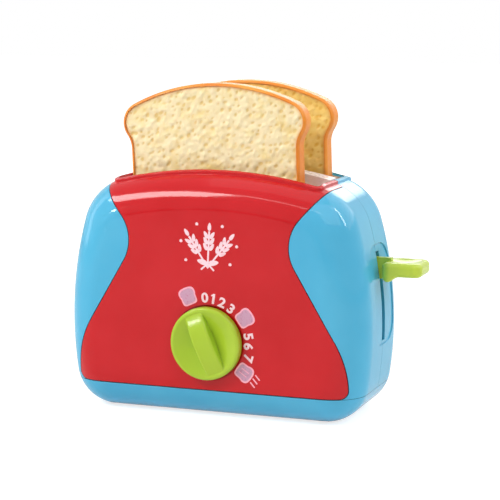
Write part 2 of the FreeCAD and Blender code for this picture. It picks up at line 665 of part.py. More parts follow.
def liner_feet():
    """Three legs under the end walls, clear of the slits that the lift's arms pass through."""
    up = ("dims.wall", "dims.liner_bottom + dims.wall")
    inner = f"{LINER_HALF_LENGTH} - dims.foot_thickness"
    feet = [box("foot_lever_end", (inner, LINER_HALF_LENGTH), ("-dims.foot_width", "dims.foot_width"), up)]
    for side in (-1, 1):
        across = mirrored_span(side, f"{SLOT_PLACE} - dims.foot_width / 2",
                               f"{SLOT_PLACE} + dims.foot_width / 2")
        feet.append(box(f"foot_far_end_{side + 1}", mirrored_span(-1, inner, LINER_HALF_LENGTH),
                        across, up))
    return feet


def bread_liner():
    half = "dims.hub_diameter / 2"
    bracket = box("rod_bracket",
                  (f"{LINER_HALF_LENGTH} - dims.liner_end_wall / 2", f"dims.rod_place + {half}"),
                  (f"-{half}", half), (f"{BRACKET_TOP} - dims.bracket_thickness", BRACKET_TOP))
    body = fuse("liner_body", liner_walls(), bracket, *liner_ribs(), *liner_feet())
    bore = cylinder("bracket_bore", "Z", ("dims.rod_place", "0", "0"), "dims.rod_diameter", FAR)
    return node("bread_liner", cut("bread_liner_solid", body, bore))


# ---------------------------------------------------------------- slices of bread
SLICE_CORNER_ACROSS = "(dims.slice_bulge / 2 - dims.slice_corner)"


def slice_outline(sketch, inset):
    """Right half of a slice of tin loaf, inset mm inside its edge, with its foot on the shelf."""
    step = size(inset)
    foot = size("dims.shelf_height")
    top = foot + size("dims.slice_height")
    crown = size("dims.slice_crown")
    corner = size("dims.slice_corner")
    hollow = size("dims.slice_hollow")
    neck = size("dims.slice_neck") / 2
    across = size(SLICE_CORNER_ACROSS)
    crown_centre = V(0, top - crown, 0)
    corner_centre = V(across, crown_centre.y + math.sqrt((crown - corner) ** 2 - across ** 2), 0)
    drop = math.sqrt((corner + hollow) ** 2 - (neck + hollow - across) ** 2)
    hollow_centre = V(neck + hollow, corner_centre.y - drop, 0)
    crown_end = angle_between(crown_centre, corner_centre)
    corner_end = angle_between(corner_centre, hollow_centre)
    draw(sketch, [
        line((0, foot + step), (0, top - step)),
        arc((0, crown_centre.y), crown - step, crown_end, 90),
        arc((corner_centre.x, corner_centre.y), corner - step, corner_end, crown_end),
        arc((hollow_centre.x, hollow_centre.y), hollow + step, corner_end + 180, 180, clockwise=False),
        line((neck - step, hollow_centre.y), (neck - step, foot + step)),
        line((neck - step, foot + step), (0, foot + step)),
    ])
    for position in (1, 2):
        on_axis(sketch, 0, position)
    sketch.addConstraint(Sketcher.Constraint("Vertical", 4))
    sketch.addConstraint(Sketcher.Constraint("Horizontal", 5))
    bind(sketch, "foot", "DistanceY", (-1, 1, 0, 1), f"dims.shelf_height + ({inset})")
    on_axis(sketch, 1, 3)
    bind(sketch, "crown_up", "DistanceY", (-1, 1, 1, 3),
         "dims.shelf_height + dims.slice_height - dims.slice_crown")
    bind(sketch, "crown", "Radius", (1,), f"dims.slice_crown - ({inset})")
    bind(sketch, "corner", "Radius", (2,), f"dims.slice_corner - ({inset})")
    bind(sketch, "corner_across", "DistanceX", (-1, 1, 2, 3), SLICE_CORNER_ACROSS)
    bind(sketch, "hollow", "Radius", (3,), f"dims.slice_hollow + ({inset})")
    bind(sketch, "hollow_across", "DistanceX", (-1, 1, 3, 3), "dims.slice_neck / 2 + dims.slice_hollow")


def sloped(item, across="0", deep="0"):
    """Tips a sub-part by the slope of the lift's shelves, which fall away from the lever."""
    item.Placement.Rotation = FreeCAD.Rotation(V(0, 1, 0), -size("dims.shelf_slope"))
    item.setExpression("Placement.Rotation.Angle", "-dims.shelf_slope * 1 deg")
    slope = "(dims.shelf_slope * 1 deg)"
    put(item, (f"{across} + dims.shelf_height * sin{slope}", deep,
               f"dims.shelf_height * (1 - cos{slope}) + {across} * tan{slope}"))
    return item


def bread_slice(name, side, shift):
    """One slice: a crust band all round and a crumb slab inside it."""
    place = (shift, f"{side} * {SLOT_PLACE}")
    crust = new_body(name + "_crust")
    outline = new_sketch(crust, "XZ_Plane")
    slice_outline(outline, "0")
    half = pad(crust, outline, "dims.slice_thickness", symmetric=True)
    whole = mirror(crust, [half])
    face = size("dims.slice_thickness / 2")
    fillet(crust, whole, lambda edge: level(edge, 1, face) or level(edge, 1, -face), "dims.crust_round")
    crumb = new_body(name + "_crumb")
    slab = new_sketch(crumb, "XZ_Plane")
    slice_outline(slab, "dims.crust_width")
    half = pad(crumb, slab, "dims.slice_thickness - 2 * dims.crumb_inset", symmetric=True)
    mirror(crumb, [half])
    opening = new_body(name + "_opening")
    hole = new_sketch(opening, "XZ_Plane")
    slice_outline(hole, "dims.crust_width")
    half = pad(opening, hole, "2 * dims.slice_thickness", symmetric=True)
    mirror(opening, [half])
    band = cut(name + "_band", crust, opening)
    node(name + "_crust", sloped(band, *place))
    node(name + "_crumb", sloped(crumb, *place))


# ---------------------------------------------------------------- bread lift, rod and spring
def bread_lift():
    crossbar_end = f"{CROSSBAR_START} + dims.crossbar_width"
    shelves = []
    arms = []
    for side, name in ((-1, "front"), (1, "rear")):
        middle = f"{side} * {SLOT_PLACE}"
        shelves.append(box(name + "_shelf", ("-dims.shelf_reach", "dims.shelf_reach"),
                           (f"{middle} - dims.shelf_width / 2", f"{middle} + dims.shelf_width / 2"),
                           ("dims.shelf_height - dims.shelf_thickness", "dims.shelf_height")))
        shelves.append(box(name + "_shelf_rib", ("-dims.shelf_reach", "dims.shelf_reach"),
                           (f"{middle} - dims.rib_width / 2", f"{middle} + dims.rib_width / 2"),
                           (CROSSBAR_BOTTOM, "dims.shelf_height")))
        arms.append(box(name + "_arm", ("dims.rib_spacing + dims.rib_width", crossbar_end),
                        (f"{middle} - dims.arm_width / 2", f"{middle} + dims.arm_width / 2"),
                        (CROSSBAR_BOTTOM, "dims.shelf_height")))
    solids = [sloped(fuse("shelves", *shelves)), *arms]
    reach = f"{SLOT_PLACE} + dims.arm_width / 2"
    crossbar_top = f"{CROSSBAR_BOTTOM} + dims.crossbar_height"
    solids.append(box("crossbar", (CROSSBAR_START, crossbar_end), (f"-({reach})", reach),
                      (CROSSBAR_BOTTOM, crossbar_top)))
    solids.append(box("catch", (CROSSBAR_START, crossbar_end),
                      ("-dims.catch_reach", f"-({reach}) + dims.wall"),
                      (CROSSBAR_BOTTOM, f"{CROSSBAR_BOTTOM} + dims.catch_height")))
    solids.append(box("hub_web", (CROSSBAR_START, "dims.rod_place"),
                      ("-dims.hub_diameter / 2", "dims.hub_diameter / 2"), (CROSSBAR_BOTTOM, crossbar_top)))
    solids.append(cylinder("hub", "Z", ("dims.rod_place", "0", CROSSBAR_BOTTOM), "dims.hub_diameter",
                           "dims.hub_height"))
    solids.append(lever_stem("stem", "0"))
    bore = cylinder("hub_bore", "Z", ("dims.rod_place", "0", "0"),
                    "dims.rod_diameter + 2 * dims.rod_fit", FAR)
    return node("bread_lift", cut("bread_lift_solid", fuse("lift_body", *solids), bore))


def lever_stem(label, start):
    """The flat stem that goes out through the slit into the lever."""
    bottom = f"{CROSSBAR_BOTTOM} + dims.stem_rise"
    return box(label, ("dims.rod_place", "dims.stem_reach"),
               (f"{SLIT_MIDDLE} - dims.stem_width / 2", f"{SLIT_MIDDLE} + dims.stem_width / 2"),
               (bottom, f"{bottom} + dims.stem_height"))


def guide_rod():
    rod = cylinder("guide_rod", "Z", ("dims.rod_place", "0", "dims.rod_foot"), "dims.rod_diameter",
                   f"{BRACKET_TOP} + dims.rod_stand - dims.rod_foot")
    node("guide_rod", rod)
    ring = cylinder("rod_clip_ring", "Z", ("dims.rod_place", "0", BRACKET_TOP),
                    "dims.rod_diameter + 2 * dims.clip_lap", "dims.clip_thickness")
    hole = cylinder("rod_clip_hole", "Z", ("dims.rod_place", "0", "0"), "dims.rod_diameter", FAR)
    node("rod_clip", cut("rod_clip_solid", ring, hole))


def lift_spring():
    """The coil under the lift, wound about the rod from its seat to the crossbar."""
    wire = size("dims.spring_wire") / 2
    mean = size("dims.spring_diameter") / 2 - wire
    low = size("dims.rod_seat_height + dims.spring_gap") + wire
    high = size(f"{CROSSBAR_BOTTOM} - dims.spring_gap") - wire
    coil = Part.makeHelix((high - low) / size("dims.spring_turns"), high - low, mean)
    section = Part.Wire(Part.makeCircle(wire, V(mean, 0, 0), V(0, 1, 0)))
    spring = doc.addObject("Part::Feature", "lift_spring")
    spring.Shape = Part.Wire(coil).makePipeShell([section], True, True)
    spring.Placement.Base = V(size("dims.rod_place"), 0, low)
    return node("lift_spring", spring)


# ---------------------------------------------------------------- lever
def lever_side_view():
    """The lever's paddle from the front: a deep root that steps up to a thin tip."""
    body = new_body("lever_side_view")
    sketch = new_sketch(body, "XZ_Plane")
    start = size(LEVER_START)
    end = size("dims.lever_end")
    top = size("dims.lever_top")
    root = size("dims.lever_root_bottom")
    tip = size("dims.lever_tip_bottom")
    near = size("dims.lever_step_start")
    far = size("dims.lever_step_end")
    radius = size(STEP_RADIUS)
    turn = 2 * math.degrees(math.atan2(tip - root, far - near))
    draw(sketch, [
        line((start, root), (start, top)),
        line((start, top), (end, top)),
        line((end, top), (end, tip)),
        line((end, tip), (far, tip), True),
        arc((far, tip - radius), radius, 90, 90 + turn, clockwise=False),
        arc((near, root + radius), radius, -90, -90 + turn),
        line((near, root), (start, root)),
    ])
    for upright in (0, 2):
        sketch.addConstraint(Sketcher.Constraint("Vertical", upright))
    for level_line in (1, 3, 6):
        sketch.addConstraint(Sketcher.Constraint("Horizontal", level_line))
    bind(sketch, "start", "DistanceX", (-1, 1, 0, 1), LEVER_START)
    bind(sketch, "end", "DistanceX", (-1, 1, 1, 2), "dims.lever_end")
    bind(sketch, "root_bottom", "DistanceY", (-1, 1, 0, 1), "dims.lever_root_bottom")
    bind(sketch, "tip_bottom", "DistanceY", (-1, 1, 2, 2), "dims.lever_tip_bottom")
    bind(sketch, "top", "DistanceY", (-1, 1, 0, 2), "dims.lever_top")
    bind(sketch, "step_start", "DistanceX", (-1, 1, 6, 1), "dims.lever_step_start")
    bind(sketch, "step_end", "DistanceX", (-1, 1, 4, 1), "dims.lever_step_end")
    sketch.addConstraint(Sketcher.Constraint("Equal", 4, 5))
    pad(body, sketch, "dims.lever_width", symmetric=True)
    return body


def on_corner(edge):
    """Whether an edge of the lever's blank is one of its four upright corners."""
    span = edge.BoundBox
    tall = span.ZLength > size("dims.lever_tip_bottom - dims.lever_root_bottom")
    return tall and span.XLength < TINY and span.YLength < TINY


def on_outline(edge):
    """Whether an edge of the lever's blank runs round its top or its underside."""
    span = edge.BoundBox
    tall = span.ZLength > size("dims.lever_tip_bottom - dims.lever_root_bottom")
    inside = span.XMin > size(LEVER_START) + TINY and span.XMax < size("dims.lever_end") - TINY
    crosswise = inside and span.XLength < TINY
    return not tall and not crosswise


def lever():
    paddle = lever_side_view()
    cornered = fillet(paddle, paddle.Tip, on_corner, "dims.lever_corner")
    fillet(paddle, cornered, on_outline, "dims.lever_round")
    put(paddle, ("0", SLIT_MIDDLE, "0"))
    neck = box("lever_neck", ("dims.neck_start", "dims.neck_end"),
               (f"{SLIT_MIDDLE} - dims.neck_width / 2", f"{SLIT_MIDDLE} + dims.neck_width / 2"),
               ("dims.neck_bottom", "dims.neck_top"))
    thumb_radius = "((dims.thumb_reach ^ 2 + dims.thumb_depth ^ 2) / (2 * dims.thumb_depth))"
    thumb = doc.addObject("Part::Sphere", "thumb_ball")
    thumb.setExpression("Radius", thumb_radius)
    put(thumb, (f"(dims.lever_end + {LEVER_START}) / 2", SLIT_MIDDLE,
                f"dims.lever_top - dims.thumb_depth + {thumb_radius}"))
    hollowed = cut("lever_hollowed", paddle, thumb)
    socket = lever_stem("stem_socket", "0")
    return node("lever", cut("lever_solid", fuse("lever_body", hollowed, neck), socket))


# ---------------------------------------------------------------- dial, shaft and cam
def tilted(item):
    """Turns a sub-part of the dial about its own axis to where the dial rests."""
    item.Placement.Rotation = FreeCAD.Rotation(V(0, 1, 0), -size("dims.rest_angle"))
    item.setExpression("Placement.Rotation.Angle", "-dims.rest_angle * 1 deg")
    put(item, ("0", "0", "dims.dial_height"))
    return item


def rounded_edges(label, base, test, radius):
    """Rounds the edges of a sub-part that pass a test."""
    doc.recompute()
    rounded = doc.addObject("Part::Fillet", label)
    rounded.Base = base
    rounded.Edges = [(number, size(radius), size(radius))
                     for number, edge in enumerate(base.Shape.Edges, start=1) if test(edge)]
    return rounded


def dial_knob():
    """A low drum, dished on both sides of an arched grip."""
    face = f"(-{DIAL_BACK} - dims.dial_thickness)"
    drum = cylinder("knob_drum", "Y", ("0", face, "0"), "dims.dial_diameter", "dims.dial_thickness")
    front = size(face)
    back = size(f"-{DIAL_BACK}")
    rounded = rounded_edges("knob_rounded", drum, lambda edge: level(edge, 1, front), "dims.dial_round")
    doc.recompute()
    edged = doc.addObject("Part::Chamfer", "knob_edged")
    edged.Base = rounded
    edged.Edges = [(number, size("dims.dial_edge"), size("dims.dial_edge"))
                   for number, edge in enumerate(rounded.Shape.Edges, start=1) if level(edge, 1, back)]
    dish_chord = "(dims.dial_diameter / 2 - dims.scoop_rim)"
    dish_radius = f"(({dish_chord} ^ 2 + dims.scoop_depth ^ 2) / (2 * dims.scoop_depth))"
    ball = doc.addObject("Part::Sphere", "scoop_ball")
    ball.setExpression("Radius", dish_radius)
    put(ball, ("0", f"{face} + dims.scoop_depth - {dish_radius}", "0"))
    arch_high = "(dims.grip_rise + dims.dial_round)"
    arch_radius = f"(((dims.dial_diameter / 2) ^ 2 + {arch_high} ^ 2) / (2 * {arch_high}))"
    arch = cylinder("grip_arch", "X", (f"-{FAR}", f"{face} - dims.grip_rise + {arch_radius}", "0"),
                    f"2 * {arch_radius}", f"2 * {FAR}")
    band = box("grip_band", ("-dims.grip_width / 2", "dims.grip_width / 2"),
               (f"{face} - dims.dial_thickness", f"-{DIAL_BACK} - dims.dial_edge"), ("-" + FAR, FAR))
    ends = cylinder("grip_ends", "Y", ("0", f"-{FAR}", "0"),
                    "dims.dial_diameter - 2 * dims.grip_inset", FAR)
    grip = rounded_edges("grip_rounded", common("grip_blank", band, arch, ends),
                         lambda edge: along_grip(edge, front), "dims.grip_round")
    bore = cylinder("knob_bore", "Y", ("0", f"-{DIAL_BACK} - dims.shaft_grip", "0"),
                    "dims.shaft_diameter", "dims.case_depth")
    body = fuse("knob_body", cut("knob_dished", edged, ball), grip)
    return node("dial_knob", tilted(cut("dial_knob_solid", body, bore)))


def along_grip(edge, front):
    """Whether an edge runs along the grip's arched top."""
    span = edge.BoundBox
    return span.ZLength > size("dims.dial_diameter / 2") and span.YMin < front


def drive_section(label, start, end):
    """A stretch of the shaft with its flat, between two places along Y."""
    bar = cylinder(label + "_bar", "Y", ("0", start, "0"), "dims.shaft_diameter", f"({end}) - ({start})")
    side = box(label + "_side", (f"-{FAR}", "dims.shaft_flat"), (f"-{FAR}", FAR), (f"-{FAR}", FAR))
    return common(label, bar, side)


def dial_shaft():
    front = cylinder("shaft_front", "Y", ("0", f"-{DIAL_BACK} - dims.shaft_grip", "0"),
                     "dims.shaft_diameter", f"{DIAL_BACK} + dims.shaft_grip - {CAM_FRONT}")
    back = drive_section("shaft_back", f"-{CAM_FRONT}", f"-{TIMER_BACK} - dims.timer_wall - dims.click_gap")
    journal = cylinder("shaft_journal", "Y", ("0", f"-{TIMER_BACK} - 2 * dims.timer_wall", "0"),
                       "dims.shaft_diameter / 2", "2 * dims.timer_wall - dims.click_gap")
    return node("dial_shaft", tilted(fuse("dial_shaft_solid", front, back, journal)))


def latch_nib(swing):
    """The nib's place from the dial's axis when the latch has swung by an angle in degrees."""
    arm = V(size("dims.nib_x - dims.latch_x"), size("dims.nib_z - dims.latch_z"), 0)
    turn = math.radians(-swing)
    across = arm.x * math.cos(turn) - arm.y * math.sin(turn)
    up = arm.x * math.sin(turn) + arm.y * math.cos(turn)
    return V(size("dims.latch_x") + across, size("dims.latch_z - dims.dial_height") + up, 0)


def groove_point(share, offset):
    """A point of the cam's groove, offset to one side of the nib's path, at a share of the travel."""

    def path(part):
        nib = latch_nib(size("dims.latch_swing") * part)
        turn = math.radians(size("dims.dial_travel") * part)
        return V(nib.x * math.cos(turn) - nib.y * math.sin(turn), 0,
                 nib.x * math.sin(turn) + nib.y * math.cos(turn))

    forward = path(share + TINY) - path(share - TINY)
    forward.normalize()
    return path(share) + V(forward.z, 0, -forward.x) * offset


def cam():
    """The disc with the curved groove that swings the latch as the dial turns."""
    half = size("dims.nib_diameter / 2 + dims.nib_play")
    overrun = size("dims.groove_overrun")
    last = int(size("dims.groove_points")) - 1
    shares = [-overrun + (1 + 2 * overrun) * step / last for step in range(last + 1)]
    sides = []
    for offset in (half, -half):
        curve = Part.BSplineCurve()
        curve.interpolate([groove_point(share, offset) for share in shares])
        sides.append(curve)
    ends = []
    for share, away in ((shares[0], -1), (shares[-1], 1)):
        along = groove_point(share + TINY, 0) - groove_point(share - TINY, 0)
        along.normalize()
        tip = groove_point(share, 0) + along * half * away
        ends.append(Part.Arc(groove_point(share, half), tip, groove_point(share, -half)))
    edges = Part.sortEdges([curve.toShape() for curve in sides + ends])[0]
    face = Part.Face(Part.Wire(edges))
    groove = doc.addObject("Part::Feature", "cam_groove")
    groove.Shape = face.extrude(V(0, size("dims.cam_thickness"), 0))
    groove.Placement.Base = V(0, -size(f"{CAM_BACK} + dims.groove_depth"), 0)
    disc = cylinder("cam_disc", "Y", ("0", f"-{CAM_FRONT}", "0"), "dims.cam_diameter",
                    "dims.cam_thickness")
    hole = drive_section("cam_hole", f"-{FAR}", FAR)
    hole.Placement.Rotation = FreeCAD.Rotation(V(0, 1, 0), -size("dims.rest_angle"))
    hole.setExpression("Placement.Rotation.Angle", "-dims.rest_angle * 1 deg")
    body = cut("latch_cam_solid", disc, groove, hole)
    put(body, ("0", "0", "dims.dial_height"))
    return node("latch_cam", body)


# ---------------------------------------------------------------- timer
def click_wheel():
    """A toothed wheel on the shaft; its valleys are round bites at equal steps."""
    back = f"{TIMER_BACK} + dims.timer_wall + dims.click_gap"
    front = f"-({back}) - dims.click_thickness"
    wheel = cylinder("wheel_blank", "Y", ("0", front, "0"), "dims.click_diameter", "dims.click_thickness")
    bites = [drive_section("wheel_hole", f"-{FAR}", FAR)]
    teeth = round(size("dims.click_teeth"))
    for number in range(teeth):
        turn = f"{number} * 360 deg / {teeth}"
        bites.append(cylinder(f"bite_{number + 1}", "Y",
                              (f"dims.click_diameter / 2 * cos({turn})", front,
                               f"dims.click_diameter / 2 * sin({turn})"),
                              "2 * dims.click_depth", "dims.click_thickness"))
    return node("click_wheel", tilted(cut("click_wheel_solid", wheel, *bites)))


def timer_room(label):
    return cylinder(label, "Y", ("0", f"-{TIMER_FRONT} + dims.timer_wall", "dims.dial_height"),
                    "dims.timer_diameter - 2 * dims.timer_wall", "dims.timer_depth")


def timer():
    """The cup behind the panel, its lid and the finger that clicks on the wheel."""
    lid_front = f"{TIMER_BACK} + dims.timer_wall"
    centre = ("0", f"-{TIMER_FRONT}", "dims.dial_height")
    cup = cylinder("timer_cup", "Y", centre, "dims.timer_diameter", f"{TIMER_FRONT} - ({lid_front})")
    room = timer_room("timer_room")
    bearing = cylinder("timer_bearing", "Y", ("0", f"-{FAR}", "dims.dial_height"),
                       "dims.shaft_diameter + 2 * dims.shaft_fit", FAR)
    ears = []
    ear_holes = []
    for number, (x, z) in enumerate(timer_post_places(), start=1):
        ears.append(cylinder(f"timer_ear_{number}", "Y", (x, f"-{TIMER_FRONT}", z),
                             "dims.post_diameter + dims.wall", "dims.timer_wall"))
        ear_holes.append(cylinder(f"timer_ear_hole_{number}", "Y", (x, f"-{FAR}", z),
                                  "dims.screw_shank + 2 * dims.clearance_play", FAR))
    cup_with_ears = fuse("timer_cup_ears", cup, *ears)
    node("timer_case", cut("timer_case_solid", cup_with_ears, room, bearing, *ear_holes))
    lid = cylinder("timer_lid", "Y", ("0", f"-({lid_front})", "dims.dial_height"),
                   "dims.timer_diameter", "dims.timer_wall")
    end_bearing = cylinder("lid_bearing", "Y", ("0", f"-{FAR}", "dims.dial_height"),
                           "dims.shaft_diameter / 2 + 2 * dims.shaft_fit", "2 * " + FAR)
    node("timer_cover", cut("timer_cover_solid", lid, end_bearing))


def click_finger():
    """A bent leaf fixed in the cup whose knee stands just off the wheel's teeth."""
    body = new_body("leaf")
    sketch = new_sketch(body, "XZ_Plane")
    knee = size("dims.click_diameter / 2 + dims.click_gap")
    leaf = size("dims.leaf_thickness")
    span = size("dims.leaf_span")
    rise = size("dims.leaf_rise")
    draw(sketch, [
        line((-span, knee + rise), (0, knee)),
        line((0, knee), (span, knee + rise)),
        line((span, knee + rise), (span, knee + rise + leaf)),
        line((span, knee + rise + leaf), (0, knee + leaf)),
        line((0, knee + leaf), (-span, knee + rise + leaf)),
        line((-span, knee + rise + leaf), (-span, knee + rise)),
    ])
    for upright in (2, 5):
        sketch.addConstraint(Sketcher.Constraint("Vertical", upright))
    for point in ((0, 2), (3, 2)):
        on_axis(sketch, *point)
    bind(sketch, "knee", "DistanceY", (-1, 1, 0, 2), "dims.click_diameter / 2 + dims.click_gap")
    bind(sketch, "span", "DistanceX", (-1, 1, 2, 1), "dims.leaf_span")
    bind(sketch, "other_span", "DistanceX", (0, 1, -1, 1), "dims.leaf_span")
    bind(sketch, "rise", "DistanceY", (0, 2, 0, 1), "dims.leaf_rise")
    bind(sketch, "other_rise", "DistanceY", (0, 2, 1, 2), "dims.leaf_rise")
    bind(sketch, "thickness", "DistanceY", (2, 1, 2, 2), "dims.leaf_thickness")
    bind(sketch, "knee_thickness", "DistanceY", (0, 2, 3, 2), "dims.leaf_thickness")
    sketch.addConstraint(Sketcher.Constraint("Equal", 2, 5))
    back = f"{TIMER_BACK} + dims.timer_wall + dims.click_gap"
    pad(body, sketch, "dims.click_thickness")
    put(body, ("0", f"-({back})", "dims.dial_height"))
    return node("click_finger", common("click_finger_solid", body, timer_room("leaf_room")))


# ---------------------------------------------------------------- latch
def release_latch():
    """The arm whose nose holds the lift down, and the tail whose nib rides in the cam's groove."""
    arm_front = f"-{TAIL_BACK} - dims.latch_arm_depth"
    arm_depth = "dims.latch_arm_depth"
    nose_right = f"({CROSSBAR_START} - dims.latch_play)"
    arm_right = f"({CROSSBAR_START} - dims.latch_play - dims.nose_length)"
    nose_bottom = (f"({CROSSBAR_BOTTOM} + dims.catch_height - dims.lift_travel + dims.nose_gap)")
    body = new_body("latch_arm")
    sketch = new_sketch(body, "XZ_Plane")
    right = size(arm_right)
    left = right - size("dims.latch_width")
    foot = size("dims.latch_z")
    low = size(nose_bottom)
    high = low + size("dims.nose_height")
    tip = size(nose_right)
    draw(sketch, [
        line((left, foot), (left, high)),
        line((left, high), (right, high)),
        line((right, high), (tip, low)),
        line((tip, low), (right, low)),
        line((right, low), (right, foot)),
        line((right, foot), (left, foot)),
    ])
    for upright in (0, 4):
        sketch.addConstraint(Sketcher.Constraint("Vertical", upright))
    for level_line in (1, 3, 5):
        sketch.addConstraint(Sketcher.Constraint("Horizontal", level_line))
    bind(sketch, "right", "DistanceX", (-1, 1, 4, 1), arm_right)
    bind(sketch, "tip", "DistanceX", (-1, 1, 3, 1), nose_right)
    bind(sketch, "width", "DistanceX", (5, 2, 5, 1), "dims.latch_width")
    sketch.addConstraint(Sketcher.Constraint("Vertical", 1, 2, 3, 2))
    bind(sketch, "foot", "DistanceY", (-1, 1, 5, 1), "dims.latch_z")
    bind(sketch, "nose_bottom", "DistanceY", (-1, 1, 3, 2), nose_bottom)
    bind(sketch, "nose_height", "DistanceY", (3, 2, 1, 2), "dims.nose_height")
    pad(body, sketch, arm_depth)
    put(body, ("0", f"-{TAIL_BACK}", "0"))
    boss = cylinder("latch_boss", "Y",
                    ("dims.latch_x", f"-{INNER_FRONT} + dims.cam_gap / 2", "dims.latch_z"),
                    "dims.latch_boss", f"{INNER_FRONT} - dims.cam_gap / 2 - {TAIL_BACK}")
    root = box("latch_root", ("dims.latch_x", arm_right),
               (arm_front, f"-{TAIL_BACK}"),
               ("dims.latch_z - dims.latch_width / 2", "dims.latch_z + dims.latch_width / 2"))
    tail = new_body("latch_tail")
    strip = new_sketch(tail, "XZ_Plane")
    tail_outline(strip)
    pad(tail, strip, "dims.tail_thickness")
    put(tail, ("0", f"-{TAIL_BACK}", "0"))
    nib = cylinder("latch_nib", "Y",
                   ("dims.nib_x", f"-{CAM_BACK} - dims.groove_depth + dims.nib_end_gap", "dims.nib_z"),
                   "dims.nib_diameter",
                   f"{CAM_BACK} + dims.groove_depth - dims.nib_end_gap - {TAIL_BACK}")
    joined = fuse("latch_body", body, boss, root, tail, nib)
    bore = cylinder("latch_bore", "Y", ("dims.latch_x", f"-{FAR}", "dims.latch_z"),
                    "dims.latch_post + 2 * dims.latch_fit", FAR)
    node("release_latch", cut("release_latch_solid", joined, bore))
    clip_front = f"-{TAIL_BACK} + dims.latch_play"
    ring = cylinder("latch_clip_ring", "Y", ("dims.latch_x", clip_front, "dims.latch_z"),
                    "dims.latch_post + 2 * dims.clip_lap", "dims.clip_thickness")
    hole = cylinder("latch_clip_hole", "Y", ("dims.latch_x", f"-{FAR}", "dims.latch_z"),
                    "dims.latch_post", FAR)
    node("latch_clip", cut("latch_clip_solid", ring, hole))


def tail_outline(sketch):
    """A bar with round ends between the latch's pivot and its nib."""
    pivot = V(size("dims.latch_x"), size("dims.latch_z"), 0)
    nib = V(size("dims.nib_x"), size("dims.nib_z"), 0)
    half = size("dims.tail_width") / 2
    along = nib - pivot
    along.normalize()
    across = V(-along.y, along.x, 0) * half
    low_side = pivot + across
    high_side = pivot - across
    heading = angle_between(pivot, nib)
    draw(sketch, [
        line((high_side.x, high_side.y), ((nib - across).x, (nib - across).y), True),
        arc((nib.x, nib.y), half, heading - 90, heading + 90, clockwise=False),
        line(((nib + across).x, (nib + across).y), (low_side.x, low_side.y), True),
        arc((pivot.x, pivot.y), half, heading + 90, heading + 270, clockwise=False),
    ])
    centre_at(sketch, 1, "nib", "dims.nib_x", "dims.nib_z")
    centre_at(sketch, 3, "pivot", "dims.latch_x", "dims.latch_z")
    bind(sketch, "half_width", "Radius", (1,), "dims.tail_width / 2")
    sketch.addConstraint(Sketcher.Constraint("Equal", 1, 3))


# ---------------------------------------------------------------- screws
def screw(label, axis, place, length, head_first=True):
    """A plain screw: its head's underside is at the place, and its shank runs along the axis."""
    index = "XYZ".index(axis)
    x, y, z = place
    shank_start = list(place)
    head_start = list(place)
    if head_first:
        head_start[index] = f"({place[index]}) - dims.screw_head_height"
    else:
        shank_start[index] = f"({place[index]}) - ({length})"
    shank = cylinder(label + "_shank", axis, shank_start, "dims.screw_shank", length)
    head = cylinder(label + "_head", axis, head_start, "dims.screw_head", "dims.screw_head_height")
    return fuse(label, shank, head)


def compound(label, *solids):
    group = doc.addObject("Part::Compound", label)
    group.Links = list(solids)
    return node(label, group)


def screws():
    seat = f"{HALF_DEPTH} - dims.upper_head_depth"
    compound("case_screws", *[screw(f"case_screw_{number}", "Y", (x, seat, z), "dims.case_screw_length",
                                    head_first=False)
                              for number, (x, z) in enumerate(upper_boss_places(), start=1)])
    places = base_boss_places(-1) + base_boss_places(1)
    compound("base_screws", *[screw(f"base_screw_{number}", "Z", (x, y, "dims.base_head_depth"),
                                    "dims.base_screw_length")
                              for number, (x, y) in enumerate(places, start=1)])
    behind = f"-{TIMER_FRONT} + dims.timer_wall"
    compound("timer_screws", *[screw(f"timer_screw_{number}", "Y", (x, behind, z),
                                     "dims.timer_screw_length", head_first=False)
                               for number, (x, z) in enumerate(timer_post_places(), start=1)])


# ---------------------------------------------------------------- all sub-parts
front_panel()
front_shell()
rear_shell()
base_tray()
bread_liner()
guide_rod()
bread_lift()
lift_spring()
lever()
bread_slice("front_toast", -1, "dims.front_slice_shift")
bread_slice("rear_toast", 1, "dims.rear_slice_shift")
dial_knob()
dial_shaft()
cam()
timer()
click_wheel()
click_finger()
release_latch()
screws()
doc.recompute()

for item in doc.Objects:
    if "Invalid" in item.State or "Error" in item.State:
        raise RuntimeError(f"{item.Label} did not build")
os.makedirs("parts", exist_ok=True)
for label, item in nodes.items():
    if item.Shape.isNull() or not item.Shape.isValid():
        raise RuntimeError(f"{label} has no valid shape")
    item.Shape.exportStep(f"parts/{label}.step")
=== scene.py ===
# A toy pop-up toaster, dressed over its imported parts. Metres, +Z up, the dial faces -Y.
import bpy, json, math, random
from mathutils import Matrix, Vector, kdtree, noise


